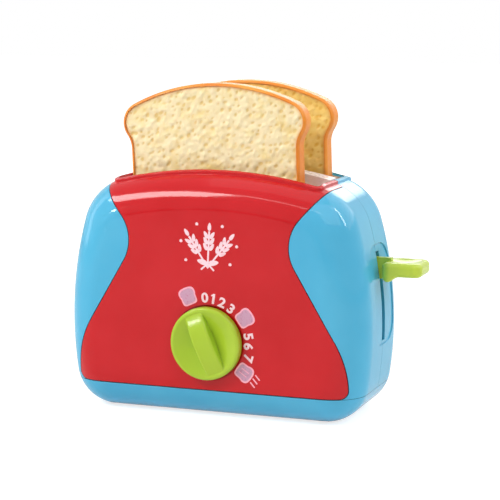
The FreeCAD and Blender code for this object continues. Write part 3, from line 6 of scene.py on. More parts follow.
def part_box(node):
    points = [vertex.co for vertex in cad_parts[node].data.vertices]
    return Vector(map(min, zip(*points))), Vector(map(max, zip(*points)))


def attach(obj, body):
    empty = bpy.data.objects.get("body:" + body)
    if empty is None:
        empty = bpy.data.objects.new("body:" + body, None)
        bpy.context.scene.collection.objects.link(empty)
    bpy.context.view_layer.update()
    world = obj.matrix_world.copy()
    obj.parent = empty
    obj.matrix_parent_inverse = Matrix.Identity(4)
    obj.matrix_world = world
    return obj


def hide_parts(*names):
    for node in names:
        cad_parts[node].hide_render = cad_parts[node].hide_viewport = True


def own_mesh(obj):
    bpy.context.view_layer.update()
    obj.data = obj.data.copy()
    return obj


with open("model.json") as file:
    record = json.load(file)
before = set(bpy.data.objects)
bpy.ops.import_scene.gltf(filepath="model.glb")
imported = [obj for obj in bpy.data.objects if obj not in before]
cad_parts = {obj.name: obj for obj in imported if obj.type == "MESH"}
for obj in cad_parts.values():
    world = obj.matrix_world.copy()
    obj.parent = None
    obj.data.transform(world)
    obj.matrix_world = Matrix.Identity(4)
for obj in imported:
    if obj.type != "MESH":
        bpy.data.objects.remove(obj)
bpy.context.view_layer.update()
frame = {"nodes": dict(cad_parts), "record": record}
nodes = frame["nodes"]
mm = 0.001


def linear(hexCode):
    channels = [int(hexCode[i:i + 2], 16) / 255 for i in (1, 3, 5)]
    return (*(c / 12.92 if c <= 0.04045 else ((c + 0.055) / 1.055) ** 2.4 for c in channels), 1.0)


def addNode(tree, kind, settings=None, inputs=None):
    node = tree.nodes.new(kind)
    for key, value in (settings or {}).items():
        if key == "stops":  # a colour ramp's positions and hex colours
            elements = node.color_ramp.elements
            while len(elements) < len(value):
                elements.new(0.5)
            for element, (position, hexCode) in zip(elements, value):
                element.position, element.color = position, linear(hexCode)
        else:
            setattr(node, key, value)
    for key, value in (inputs or {}).items():
        if isinstance(value, bpy.types.NodeSocket):
            tree.links.new(value, node.inputs[key])
        else:
            node.inputs[key].default_value = value
    return node


def emptyMaterial(name):
    material = bpy.data.materials.new(name)
    material.use_nodes = True
    material.node_tree.nodes.clear()
    return material, material.node_tree


def objectPlace(tree):
    return addNode(tree, "ShaderNodeTexCoord").outputs["Object"]


def cloudy(tree, place, size, detail, **more):
    # noise whose patches are about so many mm wide
    cloud = addNode(tree, "ShaderNodeTexNoise",
                    inputs={"Vector": place, "Scale": 1 / (size * mm), "Detail": detail, **more})
    return cloud.outputs["Fac"]


def spread(tree, value, start, end):
    # what lies between the first two numbers is stretched between the second two
    stretched = addNode(tree, "ShaderNodeMapRange",
                        inputs={"Value": value, "From Min": start[0], "From Max": start[1],
                                "To Min": end[0], "To Max": end[1]})
    return stretched.outputs["Result"]


def tinted(tree, value, stops):
    return addNode(tree, "ShaderNodeValToRGB", {"stops": stops}, {"Fac": value}).outputs["Color"]


def blended(tree, share, under, over):
    mixed = addNode(tree, "ShaderNodeMixRGB", inputs={"Fac": share, "Color1": under, "Color2": over})
    return mixed.outputs["Color"]


def roundedEdge(tree, radius):
    return addNode(tree, "ShaderNodeBevel", {"samples": 6}, {"Radius": radius * mm}).outputs["Normal"]


def bumpy(tree, height, high, strength, edge=None):
    inputs = {"Height": height, "Distance": high * mm, "Strength": strength}
    if edge is not None:
        inputs["Normal"] = edge
    return addNode(tree, "ShaderNodeBump", inputs=inputs).outputs["Normal"]


def shaded(tree, inputs):
    shader = addNode(tree, "ShaderNodeBsdfPrincipled", inputs=inputs)
    addNode(tree, "ShaderNodeOutputMaterial", inputs={"Surface": shader.outputs["BSDF"]})


noiseSpan = (0.35, 0.65)  # noise lies mostly between these

# injection-moulded ABS: an even colour with faint flow marks, a glossy skin with a slow ripple,
# light handling scuffs, edges rounded by the mould, and painted shade, a dark tone laid into seams, gaps
# and creases; sizes in mm
absSkin = {
    "flowLong": 40, "scuffWide": 3, "rippleHigh": 0.03, "index": 1.48, "gloss": 0.38,
    # the dark tone, the reach and the share of the painted shade laid into seams, gaps and creases
    "paintedShade": "#2A1E22", "paintedShadeReach": 1.3, "paintedShadeShare": 0.85,
}
shellMould = {"roughness": (0.07, 0.13), "ripple": 14, "edge": 0.45}
knobMould = {"roughness": (0.11, 0.19), "ripple": 12, "edge": 0.40}
linerMould = {"roughness": (0.25, 0.34), "ripple": 9, "edge": 0.30}
absLooks = {
    "redAbs": {"base": "#CA0611", "flow": "#D1111B", **shellMould},
    "blueAbs": {"base": "#4AB3DA", "flow": "#54B9DE", **shellMould},
    "greenAbs": {"base": "#A9C92B", "flow": "#B3D138", **knobMould},
    "limeAbs": {"base": "#C2D744", "flow": "#CBDE50", **knobMould},
    "whiteAbs": {"base": "#FBF0EF", "flow": "#FFF7F6", **linerMould},
}


def mouldedAbs(name):
    look = absLooks[name]
    material, tree = emptyMaterial(name)
    place = objectPlace(tree)
    flow = cloudy(tree, place, absSkin["flowLong"], 3.0)
    colour = tinted(tree, flow, [(0.35, look["base"]), (0.65, look["flow"])])
    # painted shade: the colour darkens toward the dark tone where nearby surfaces occlude, in seams, gaps
    # and creases
    creaseOcclusion = addNode(tree, "ShaderNodeAmbientOcclusion", {"samples": 8},
                    {"Distance": absSkin["paintedShadeReach"] * mm})
    paintedShade = spread(tree, creaseOcclusion.outputs["AO"], (0.08, 0.55), (absSkin["paintedShadeShare"], 0.0))
    paintedShadeColour = blended(tree, paintedShade, colour, linear(absSkin["paintedShade"]))
    scuff = cloudy(tree, place, absSkin["scuffWide"], 6.0, Roughness=0.7)
    shine = spread(tree, scuff, (0.4, 0.75), look["roughness"])
    ripple = cloudy(tree, place, look["ripple"], 1.0)
    skin = bumpy(tree, ripple, absSkin["rippleHigh"], 1.0, roundedEdge(tree, look["edge"]))
    shaded(tree, {"Base Color": paintedShadeColour, "Roughness": shine, "Normal": skin, "IOR": absSkin["index"],
                  "Specular IOR Level": absSkin["gloss"]})
    return material


# moulded acetal, a waxy off-white used for gears and latches; sizes in mm
acetalLook = {"base": "#E4E2D8", "light": "#EEECE4", "roughness": (0.38, 0.50), "cloudWide": 12,
              "rubWide": 1.5, "index": 1.48}


def mouldedAcetal(name):
    material, tree = emptyMaterial(name)
    place = objectPlace(tree)
    cloud = cloudy(tree, place, acetalLook["cloudWide"], 3.0)
    colour = tinted(tree, cloud, [(0.35, acetalLook["base"]), (0.65, acetalLook["light"])])
    rub = cloudy(tree, place, acetalLook["rubWide"], 4.0)
    dull = spread(tree, rub, noiseSpan, acetalLook["roughness"])
    shaded(tree, {"Base Color": colour, "Roughness": dull, "IOR": acetalLook["index"]})
    return material


# drawn and ground steel: bright, with fine lines along the work, in mm; they are coarser than real
# ones so that they show
steelGrain = {"bright": "#C9CACC", "lineWide": 0.35, "squeeze": 0.06}
steelLooks = {
    "rodSteel": {"tone": "#A9ABAE", "roughness": (0.22, 0.36)},
    "springSteel": {"tone": "#8F9296", "roughness": (0.28, 0.42)},
    "screwSteel": {"tone": "#A2A5A8", "roughness": (0.32, 0.48)},
}


def drawnSteel(name):
    look = steelLooks[name]
    material, tree = emptyMaterial(name)
    along = addNode(tree, "ShaderNodeMapping",
                    inputs={"Vector": objectPlace(tree), "Scale": (1, 1, steelGrain["squeeze"])})
    lines = cloudy(tree, along.outputs["Vector"], steelGrain["lineWide"], 3.0)
    colour = tinted(tree, lines, [(0.3, look["tone"]), (0.7, steelGrain["bright"])])
    dull = spread(tree, lines, noiseSpan, look["roughness"])
    shaded(tree, {"Base Color": colour, "Roughness": dull, "Metallic": 1.0})
    return material


# plastic moulded like crumb: cream, with painted shade making the pits golden and painted light on
# the lumps, golden beside the crust, with browner patches and a little light passing through it; sizes in
# mm
crumbSkin = {
    "patchWide": 9, "patchShare": 0.8, "fineWide": 0.9, "fineHigh": 0.10, "roughness": (0.36, 0.52),
    "index": 1.5, "through": {"Subsurface Weight": 0.10, "Subsurface Scale": 1.5 * mm,
                              "Subsurface Radius": (1.0, 0.7, 0.35)},
}
crumbLooks = {
    "freshCrumb": {"cream": "#FAE8BA", "pitShade": "#E6C67E", "edge": "#E5A23A", "patch": "#F3D88C"},
    # painted light: the rear slice's crumb is the front's plastic, made brighter and more golden to stand
    # in for warm light bounced between the slices and off the crusts
    "bounceLitCrumb": {"cream": "#FFDD84", "pitShade": "#EBBB4E", "edge": "#DE9C34", "patch": "#FACF6C"},
}


def mouldedCrumb(name):
    look = crumbLooks[name]
    material, tree = emptyMaterial(name)
    place = objectPlace(tree)
    # painted shade in the pits and painted light on the lumps, read from the crumb mesh
    depth = addNode(tree, "ShaderNodeAttribute", {"attribute_name": "poreDepth"})
    pores = tinted(tree, depth.outputs["Fac"], [(0.15, look["cream"]), (0.95, look["pitShade"])])
    cloud = cloudy(tree, place, crumbSkin["patchWide"], 4.0, Roughness=0.6)
    patch = spread(tree, cloud, (0.5, 0.72), (0.0, crumbSkin["patchShare"]))
    patched = blended(tree, patch, pores, linear(look["patch"]))
    beside = addNode(tree, "ShaderNodeAttribute", {"attribute_name": "crustNear"})
    edged = blended(tree, beside.outputs["Fac"], patched, linear(look["edge"]))
    fine = cloudy(tree, place, crumbSkin["fineWide"], 3.0)
    dull = spread(tree, fine, noiseSpan, crumbSkin["roughness"])
    skin = bumpy(tree, fine, crumbSkin["fineHigh"], 0.8)
    shaded(tree, {"Base Color": edged, "Roughness": dull, "Normal": skin, "IOR": crumbSkin["index"],
                  **crumbSkin["through"]})
    return material


# the same plastic tinted like a baked crust, sprayed a little unevenly; sizes in mm
crustLook = {
    "dark": "#E58124", "baked": "#EF9231", "light": "#F6A546", "sprayWide": 16, "grainWide": 1.2,
    "grainHigh": 0.05, "roughness": (0.34, 0.48), "edge": 0.5, "index": 1.5, "gloss": 0.38,
    "through": {"Subsurface Weight": 0.06, "Subsurface Scale": 1.5 * mm,
                "Subsurface Radius": (1.0, 0.6, 0.3)},
}


def mouldedCrust(name):
    material, tree = emptyMaterial(name)
    place = objectPlace(tree)
    bake = cloudy(tree, place, crustLook["sprayWide"], 4.0)
    colour = tinted(tree, bake, [(0.3, crustLook["dark"]), (0.5, crustLook["baked"]),
                                 (0.72, crustLook["light"])])
    grain = cloudy(tree, place, crustLook["grainWide"], 3.0)
    dull = spread(tree, grain, noiseSpan, crustLook["roughness"])
    skin = bumpy(tree, grain, crustLook["grainHigh"], 0.8, roundedEdge(tree, crustLook["edge"]))
    shaded(tree, {"Base Color": colour, "Roughness": dull, "Normal": skin, "IOR": crustLook["index"],
                  "Specular IOR Level": crustLook["gloss"], **crustLook["through"]})
    return material


# pad-printed ink, thin in places where the red below shows through; sizes in mm
inkSkin = {"coverWide": 1.2, "roughness": (0.30, 0.44), "index": 1.5}
inkLooks = {
    "paleInk": {"full": "#FFDDE4", "thin": "#F8C6D0"},
    "pinkInk": {"full": "#FFB9CA", "thin": "#F6A4B8"},
    "mauveInk": {"full": "#D2A0BA", "thin": "#CC84A6"},
}


def padInk(name):
    look = inkLooks[name]
    material, tree = emptyMaterial(name)
    cover = cloudy(tree, objectPlace(tree), inkSkin["coverWide"], 5.0)
    colour = tinted(tree, cover, [(0.34, look["thin"]), (0.46, look["full"])])
    dull = spread(tree, cover, noiseSpan, inkSkin["roughness"])
    shaded(tree, {"Base Color": colour, "Roughness": dull, "IOR": inkSkin["index"]})
    return material


finish = {}
for maker, looks in ((mouldedAbs, absLooks), (drawnSteel, steelLooks),
                     (mouldedCrumb, crumbLooks), (padInk, inkLooks)):
    for name in looks:
        finish[name] = maker(name)
finish["acetal"] = mouldedAcetal("acetal")
finish["bakedCrust"] = mouldedCrust("bakedCrust")

finishOfSlot = {
    "red_plastic": "redAbs", "blue_plastic": "blueAbs", "green_plastic": "greenAbs",
    "white_plastic": "whiteAbs", "acetal_plastic": "acetal", "steel_rod": "rodSteel",
    "spring_steel": "springSteel", "screw_steel": "screwSteel",
    "crust_plastic": "bakedCrust", "crumb_plastic": "freshCrumb",
}


def dress(piece, name):
    piece.data.materials.clear()
    piece.data.materials.append(finish[name])


for part in frame["record"]["subparts"]:
    dress(nodes[part["node"]], finishOfSlot[part["material_slot"]])
dress(nodes["lever"], "limeAbs")  # a little yellower than the dial
print("materials: done")


def selectOnly(piece):
    bpy.ops.object.select_all(action="DESELECT")
    piece.select_set(True)
    bpy.context.view_layer.objects.active = piece


def applyModifier(piece, name, kind, **settings):
    selectOnly(piece)
    modifier = piece.modifiers.new(name, kind)
    for key, value in settings.items():
        setattr(modifier, key, value)
    bpy.ops.object.modifier_apply(modifier=name)


def mergedCopy(node, name):
    # a copy with a mesh of its own, its split edges closed
    copy = bpy.data.objects.new(name, nodes[node].data.copy())
    bpy.context.collection.objects.link(copy)
    selectOnly(copy)
    bpy.ops.object.mode_set(mode="EDIT")
    bpy.ops.mesh.select_all(action="SELECT")
    bpy.ops.mesh.remove_doubles(threshold=0.001 * mm)
    bpy.ops.object.mode_set(mode="OBJECT")
    return copy


# the crumb faces: pits and soft lumps moulded into a copy of each crumb slab, in mm; a facing is
# how squarely a bit of surface looks along Y, and each slice has its finish and its seed
crumbSurface = {
    "voxel": 0.70, "pitSpacing": 3.5, "jitter": 0.4, "pitWide": (0.8, 1.4), "pitDeep": (0.2, 0.5),
    "pitLean": (0.2, 1.4), "pitLong": 1.9, "bumpShare": 0.45, "bumpHigh": 0.5, "bumpWider": 1.25,
    "lumpSize": 5.0, "lumpHigh": 0.26, "fineSize": 1.6, "fineHigh": 0.04, "fineShift": (5, 9, 1),
    "facesApart": 20, "rimFacing": 0.5, "flatFacing": 0.85, "edgeFade": 1.5, "edgeSpread": 0.3,
    "pitPaintedShade": 0.8, "lumpPaintedLight": 0.3, "plainTone": 0.1, "rimTone": 0.2, "edgeTone": 3.0, "edgeTint": 0.75,
    # the rear slice takes the crumb with painted warm bounce light
    "slices": {"front": ("freshCrumb", 50), "rear": ("bounceLitCrumb", 40)},
}


def crumbPits(low, high, seed):
    # one pit or bump in each square of a jittered grid: its place, half width, depth, lean and length
    chance = random.Random(seed)
    step, jitter = crumbSurface["pitSpacing"], crumbSurface["jitter"]
    pits = []
    for column in range(int((high[0] - low[0]) / step) + 2):
        for row in range(int((high[1] - low[1]) / step) + 2):
            spot = Vector((low[0] + (column + chance.uniform(-jitter, jitter)) * step,
                           low[1] + (row + chance.uniform(-jitter, jitter)) * step, 0))
            wide = chance.uniform(*crumbSurface["pitWide"])
            deep = chance.uniform(*crumbSurface["pitDeep"])
            if chance.random() < crumbSurface["bumpShare"]:
                wide *= crumbSurface["bumpWider"]
                deep = -crumbSurface["bumpHigh"] * chance.uniform(0.5, 1)
            lean = chance.uniform(*crumbSurface["pitLean"])
            long = chance.uniform(1, crumbSurface["pitLong"])
            pits.append((spot, wide, deep, lean, long))
    return pits


def treeOf(spots):
    tree = kdtree.KDTree(len(spots))
    for index, spot in enumerate(spots):
        tree.insert(spot, index)
    tree.balance()
    return tree


def pitAt(pits, tree, x, z):
    # how far into a pit a place is, from 0 to 1, and how deep it is there, less than 0 on a bump
    share, deep = 0.0, 0.0
    for spot, index, distance in tree.find_n((x, z, 0), 3):
        centre, wide, depth, lean, long = pits[index]
        along = (x - centre.x) * math.cos(lean) + (z - centre.y) * math.sin(lean)
        aside = (z - centre.y) * math.cos(lean) - (x - centre.x) * math.sin(lean)
        inside = max(0.0, 1 - (along / (wide * long)) ** 2 - (aside / wide) ** 2)
        inside = inside * inside * (3 - 2 * inside)
        deep += inside * depth
        if depth > 0:
            share = max(share, inside)
    return share, deep


def crumbRelief(pits, tree, x, z, sign):
    # how far the face stands out at a place, in mm, and its painted shade: darker in a pit, lighter on a
    # lump
    share, deep = pitAt(pits, tree, x, z)
    flat = Vector((x, crumbSurface["facesApart"] * sign, z))
    lump = noise.noise(flat / crumbSurface["lumpSize"]) * 2
    fine = noise.noise(flat / crumbSurface["fineSize"] + Vector(crumbSurface["fineShift"])) * 2
    rise = crumbSurface["lumpHigh"] * (lump - 0.5) + crumbSurface["fineHigh"] * fine - deep
    # painted shade deepens with the pit and painted light rises with the lump
    tone = crumbSurface["pitPaintedShade"] * share - crumbSurface["lumpPaintedLight"] * lump + crumbSurface["plainTone"]
    return rise, tone


def crumbSlab(side, crumbFinish, seed):
    slab = mergedCopy(side + "_toast_crumb", side + "_crumb_face")
    applyModifier(slab, "crumbGrid", "REMESH", mode="VOXEL", voxel_size=crumbSurface["voxel"] * mm)
    mesh = slab.data
    normals = [v.normal.copy() for v in mesh.vertices]
    outline = treeOf([v.co.copy() for v, n in zip(mesh.vertices, normals)
                      if abs(n.y) < crumbSurface["rimFacing"]])
    low = [min(v.co[i] for v in mesh.vertices) / mm for i in (0, 2)]
    high = [max(v.co[i] for v in mesh.vertices) / mm for i in (0, 2)]
    faces = {}
    for sign in (-1, 1):
        pits = crumbPits(low, high, seed + sign)
        faces[sign] = (pits, treeOf([pit[0] for pit in pits]))
    tones, beside = [], []
    for vertex, normal in zip(mesh.vertices, normals):
        inward = outline.find(vertex.co)[2] / mm
        near = max(0.0, 1 - inward / crumbSurface["edgeTone"])
        beside.append(near ** 2 * crumbSurface["edgeTint"])
        if abs(normal.y) < crumbSurface["flatFacing"]:
            # the rounded rim spreads a little, to close up against the crust
            vertex.co += Vector((normal.x, 0, normal.z)) * (crumbSurface["edgeSpread"] * mm)
            tones.append(crumbSurface["rimTone"])
            continue
        sign = 1 if normal.y > 0 else -1
        rise, tone = crumbRelief(*faces[sign], vertex.co.x / mm, vertex.co.z / mm, sign)
        fade = min(1.0, inward / crumbSurface["edgeFade"])
        vertex.co += normal * (rise * fade * mm)
        tones.append(max(0.0, min(1.0, tone * fade)))
    for label, values in (("poreDepth", tones), ("crustNear", beside)):
        attribute = mesh.attributes.new(label, "FLOAT", "POINT")
        attribute.data.foreach_set("value", values)
    mesh.update()
    selectOnly(slab)
    bpy.ops.object.shade_smooth()
    dress(slab, crumbFinish)
    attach(slab, side + "_toast")
    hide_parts(side + "_toast_crumb")


for side, (crumbFinish, seed) in crumbSurface["slices"].items():
    crumbSlab(side, crumbFinish, seed)
print("crumb: done")


# cross recesses cut into copies of the screws whose heads show: four under the base, two behind; mm
crossRecess = {
    "long": 3.2, "wide": 0.8, "deep": 1.2,
    "base_screws": [(x, y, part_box("base_screws")[0][2] / mm) for x in (-63.5, 63.5) for y in (-26, 26)],
    "case_screws": [(x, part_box("case_screws")[1][1] / mm, 117.5) for x in (-66, 66)],
}


def recessedScrews(node):
    screws = mergedCopy(node, node + "_recessed")
    long, wide, through = crossRecess["long"], crossRecess["wide"], 2 * crossRecess["deep"]
    for x, y, z in crossRecess[node]:
        for across, along in ((wide, long), (long, wide)):
            # the case's screws lie along Y, the base's stand upright
            scale = (across, through, along) if node == "case_screws" else (across, along, through)
            bpy.ops.object.select_all(action="DESELECT")
            bpy.ops.mesh.primitive_cube_add(size=mm, location=(x * mm, y * mm, z * mm), scale=scale)
            blade = bpy.context.object
            applyModifier(screws, "cut", "BOOLEAN", operation="DIFFERENCE", object=blade, solver="EXACT")
            bpy.data.objects.remove(blade)
    dress(screws, "screwSteel")
    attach(screws, "housing")
    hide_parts(node)


for node in ("base_screws", "case_screws"):
    recessedScrews(node)
print("screws: done")


# the lift's spring: a copy with a mesh of its own, in spring steel, carried by the housing in place of the
# imported one
def closingSpring():
    coil = mergedCopy("lift_spring", "lift_spring_coil")
    dress(coil, "springSteel")
    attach(coil, "housing")
    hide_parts("lift_spring")
    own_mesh(coil)


closingSpring()


# everything printed on the red front: x and z in mm on the front face, turns clockwise in degrees;
# the flag of the 1 has a start, an end, a width and a number of ink layers, and fontShare is a
# digit's height as a share of its font's size
frontPrint = {
    "faceY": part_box("front_panel")[0][1] / mm, "inkHigh": 0.05,
    "digitHigh": 5.7, "digitWide": 1.1, "digitBold": 0.05, "fontShare": 0.7,
    "digits": {"0": (-1.6, 69.5, -4), "1": (3.6, 69.0, 8), "2": (8.7, 67.3, 20), "3": (14.0, 64.1, 35),
               "5": (24.3, 49.2, 78), "6": (24.3, 43.5, 91), "7": (24.1, 36.7, 106)},
    "flag": ((-1.3, 1.7), (0.1, 2.55), 0.8, 1.1),
    "slices": {"pale_toast": (-11.6, 69.4, -24), "middle_toast": (22.1, 59.2, 55),
               "hot_toast": (21.7, 28.6, 125)},
    "sliceWide": 10.2, "sliceHigh": 10.6, "sliceBorder": 0.9, "faceLayers": 1.5,
}


def ontoFront(piece, x, z, turn):
    # from flat on the floor plane, facing up, to the front face
    lay = (Matrix.Translation(Vector((x * mm, frontPrint["faceY"] * mm, z * mm)))
           @ Matrix.Rotation(math.radians(turn), 4, "Y") @ Matrix.Rotation(math.radians(90), 4, "X"))
    piece.data.transform(lay)
    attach(piece, "housing")


def joinPieces(name, pieces):
    bpy.ops.object.select_all(action="DESELECT")
    for piece in pieces:
        piece.select_set(True)
    bpy.context.view_layer.objects.active = pieces[0]
    bpy.ops.object.join()
    pieces[0].name = name
    return pieces[0]


def inkSlab(name, sides, shape, layers=1.0):
    # a flat disc whose edge is moved to an outline, then given the ink's thickness
    bpy.ops.object.select_all(action="DESELECT")
    bpy.ops.mesh.primitive_circle_add(vertices=sides, radius=1 * mm, fill_type="NGON")
    piece = bpy.context.object
    piece.name = name
    for vertex in piece.data.vertices:
        x, y = shape(math.atan2(vertex.co.y, vertex.co.x))
        vertex.co = (x * mm, y * mm, 0)
    thick = frontPrint["inkHigh"] * layers * mm
    bpy.ops.object.mode_set(mode="EDIT")
    bpy.ops.mesh.select_all(action="SELECT")
    bpy.ops.mesh.extrude_region_move(TRANSFORM_OT_translate={"value": (0, 0, thick)})
    bpy.ops.mesh.select_all(action="SELECT")
    bpy.ops.mesh.normals_make_consistent(inside=False)
    bpy.ops.object.mode_set(mode="OBJECT")
    return piece


def strokeSlab(start, end, width, layers=1.0):
    # a short straight stroke with round ends
    lean = math.atan2(end[1] - start[1], end[0] - start[0])
    half = math.dist(start, end) / 2
    middle = ((start[0] + end[0]) / 2, (start[1] + end[1]) / 2)

    def shape(angle):
        x = math.copysign(half, math.cos(angle)) + width / 2 * math.cos(angle)
        y = width / 2 * math.sin(angle)
        return (middle[0] + x * math.cos(lean) - y * math.sin(lean),
                middle[1] + x * math.sin(lean) + y * math.cos(lean))
    return inkSlab("stroke", 16, shape, layers)


def centred(piece, high):
    # the middle of its outline at the origin, and this high
    corners = [v.co for v in piece.data.vertices]
    low = [min(c[i] for c in corners) for i in range(2)]
    top = [max(c[i] for c in corners) for i in range(2)]
    grow = high / (top[1] - low[1])
    piece.data.transform(Matrix.Diagonal((grow, grow, 1, 1))
                         @ Matrix.Translation(Vector((-(low[0] + top[0]) / 2, -(low[1] + top[1]) / 2, 0))))


def printedDigit(digit, x, z, turn):
    bpy.ops.object.select_all(action="DESELECT")
    bpy.ops.object.text_add()
    piece = bpy.context.object
    piece.name = "digit_" + digit
    piece.data.body = digit
    piece.data.size = frontPrint["digitHigh"] / frontPrint["fontShare"] * mm
    piece.data.offset = frontPrint["digitBold"] * frontPrint["digitHigh"] * mm
    piece.data.extrude = frontPrint["inkHigh"] * mm
    piece.data.resolution_u = 6
    bpy.ops.object.convert(target="MESH")
    piece = bpy.context.object
    centred(piece, frontPrint["digitHigh"] * mm)
    piece.data.transform(Matrix.Diagonal((frontPrint["digitWide"], 1, 1, 1)))
    if digit == "1":  # the plain bar gets a flag
        piece = joinPieces(piece.name, [piece, strokeSlab(*frontPrint["flag"])])
    dress(piece, "paleInk")
    ontoFront(piece, x, z, turn)


# a slice's outline, on a half width and a half height of 1: a rounded square with a waist below
# its crown
sliceForm = {"squareness": 5, "waist": 0.11, "waistAt": 0.18, "waistSharp": 14, "crown": 0.16,
             "sides": 0.88, "sink": 0.03}


def sliceOutline(wide, high):
    def shape(angle):
        power = sliceForm["squareness"]
        square = (abs(math.cos(angle)) ** power + abs(math.sin(angle)) ** power) ** (-1 / power)
        x, y = square * math.cos(angle), square * math.sin(angle)
        above = 1 / (1 + math.exp(-sliceForm["waistSharp"] * (y - sliceForm["waistAt"])))
        body = 1 - sliceForm["waist"] + sliceForm["waist"] * above
        crown = sliceForm["crown"] * (1 - x * x) if y > 0 else 0
        return wide / 2 * x * body, high / 2 * (y * sliceForm["sides"] + crown - sliceForm["sink"])
    return shape


# steam above the crown of the hottest slice, and two toasting lines on its face; mm
hotMarks = {
    "steamApart": 2.6, "steamLean": 0.4, "steamFrom": 1.0, "steamTo": 4.2, "steamWide": 0.8,
    "lineAside": 1.3, "lineHalf": 2.4, "lineWide": 0.5, "lineLayers": 2.0,
}


def hotStrokes(high):
    strokes = []
    for step in (-1, 0, 1):
        x = step * hotMarks["steamApart"]
        strokes.append(strokeSlab((x - hotMarks["steamLean"], high / 2 + hotMarks["steamFrom"]),
                                  (x + hotMarks["steamLean"], high / 2 + hotMarks["steamTo"]),
                                  hotMarks["steamWide"]))
    for step in (-1, 1):
        x = step * hotMarks["lineAside"]
        strokes.append(strokeSlab((x, -hotMarks["lineHalf"]), (x, hotMarks["lineHalf"]),
                                  hotMarks["lineWide"], hotMarks["lineLayers"]))
    for stroke in strokes:
        dress(stroke, "pinkInk")
    return strokes


def printedSlice(name, x, z, turn):
    wide, high, border = (frontPrint[k] for k in ("sliceWide", "sliceHigh", "sliceBorder"))
    outer = inkSlab("outer", 64, sliceOutline(wide, high))
    dress(outer, "pinkInk")
    inner = inkSlab("inner", 64, sliceOutline(wide - 2 * border, high - 2 * border),
                    frontPrint["faceLayers"])
    dress(inner, "mauveInk")
    marks = hotStrokes(high) if name == "hot_toast" else []
    ontoFront(joinPieces(name, [outer, inner, *marks]), x, z, turn)


for digit, (x, z, turn) in frontPrint["digits"].items():
    printedDigit(digit, x, z, turn)
for name, (x, z, turn) in frontPrint["slices"].items():
    printedSlice(name, x, z, turn)
print("dial print: done")


# three wheat ears tied with a bow, in the place above the dial; mm on the front face, leans and
# turns in degrees. Shapes that lap have unlike numbers of ink layers, so that no two faces lie in
# one plane. Each ear has its lean and its stem's layers, and each hand of the bow has its own
wheat = {
    "centre": (0.7, 97.0), "turn": 3, "root": (0, -10.5), "ears": {-36: 1.0, 0: 1.16, 36: 1.08},
    "stem": 10.0, "stemWide": 1.1, "stemInEar": 10.0, "earLong": 15.2, "pairs": 3, "splay": 30,
    "grainLong": 4.5, "grainWide": 2.1, "grainOut": 1.9, "grainStep": 3.3, "grainTaper": 0.25,
    "grainLayers": 1.3, "pairLayers": 0.1, "handLayers": 0.2, "tipLayers": 1.7,
    "dots": ((-16.6, 3.0), (16.6, 3.0), (-7.6, 13.4), (7.6, 13.4), (-13.2, -7.4), (13.2, -7.4)),
    "dotWide": 1.8,
}
bow = {
    "knotUp": 2.2, "knotWide": 2.6, "knotLayers": 2.0, "loopOut": 3.4, "loopUp": 0.7, "loopTurn": 78,
    "loopLong": 6.0, "loopWide": 3.0, "loopLayers": {-1: 1.4, 1: 1.6}, "tailOut": 3.6, "tailDown": 3.4,
    "tailWide": 1.0, "tailLayers": {-1: 1.75, 1: 1.85},
}


def grainSlab(name, sides, spot, lean, size, layers=1.0):
    # an oval, finer toward its tip
    def shape(angle):
        x = size[0] / 2 * math.cos(angle)
        y = size[1] / 2 * math.sin(angle) * (1 - wheat["grainTaper"] * math.cos(angle))
        return (spot[0] + x * math.sin(lean) + y * math.cos(lean),
                spot[1] + x * math.cos(lean) - y * math.sin(lean))
    return inkSlab(name, sides, shape, layers)


def wheatEar(lean, stemLayers):
    up = (math.sin(lean), math.cos(lean))
    side = (math.cos(lean), -math.sin(lean))
    root = wheat["root"]
    top = (root[0] + up[0] * wheat["stem"], root[1] + up[1] * wheat["stem"])
    end = (top[0] + up[0] * wheat["stemInEar"], top[1] + up[1] * wheat["stemInEar"])
    size = (wheat["grainLong"], wheat["grainWide"])
    pieces = [strokeSlab(root, end, wheat["stemWide"], stemLayers)]
    for pair in range(wheat["pairs"]):
        for hand in (-1, 1):
            along = wheat["grainStep"] * (pair + 0.5)
            spot = (top[0] + up[0] * along + side[0] * wheat["grainOut"] * hand,
                    top[1] + up[1] * along + side[1] * wheat["grainOut"] * hand)
            turn = lean + math.radians(wheat["splay"]) * hand
            layers = wheat["grainLayers"] + wheat["pairLayers"] * (pair % 2)
            layers += wheat["handLayers"] * (hand > 0)
            pieces.append(grainSlab("grain", 20, spot, turn, size, layers))
    reach = wheat["earLong"] - wheat["grainLong"] / 2
    tip = (top[0] + up[0] * reach, top[1] + up[1] * reach)
    pieces.append(grainSlab("grain", 20, tip, lean, size, wheat["tipLayers"]))
    return pieces


def tiedBow():
    knot = (wheat["root"][0], wheat["root"][1] + bow["knotUp"])
    pieces = []
    for hand in (-1, 1):
        loop = (knot[0] + hand * bow["loopOut"], knot[1] + bow["loopUp"])
        pieces.append(grainSlab("loop", 24, loop, math.radians(bow["loopTurn"] * hand),
                                (bow["loopLong"], bow["loopWide"]), bow["loopLayers"][hand]))
        tail = (knot[0] + hand * bow["tailOut"], knot[1] - bow["tailDown"])
        pieces.append(strokeSlab(knot, tail, bow["tailWide"], bow["tailLayers"][hand]))
    pieces.append(grainSlab("knot", 20, knot, 0, (bow["knotWide"], bow["knotWide"]), bow["knotLayers"]))
    return pieces


def wheatSheaf():
    pieces = []
    for lean, stemLayers in wheat["ears"].items():
        pieces += wheatEar(math.radians(lean), stemLayers)
    pieces += tiedBow()
    for spot in wheat["dots"]:
        pieces.append(grainSlab("dot", 16, spot, 0, (wheat["dotWide"], wheat["dotWide"])))
    for piece in pieces:
        dress(piece, "paleInk")
    ontoFront(joinPieces("wheat_sheaf", pieces), *wheat["centre"], wheat["turn"])


wheatSheaf()
print("wheat: done")


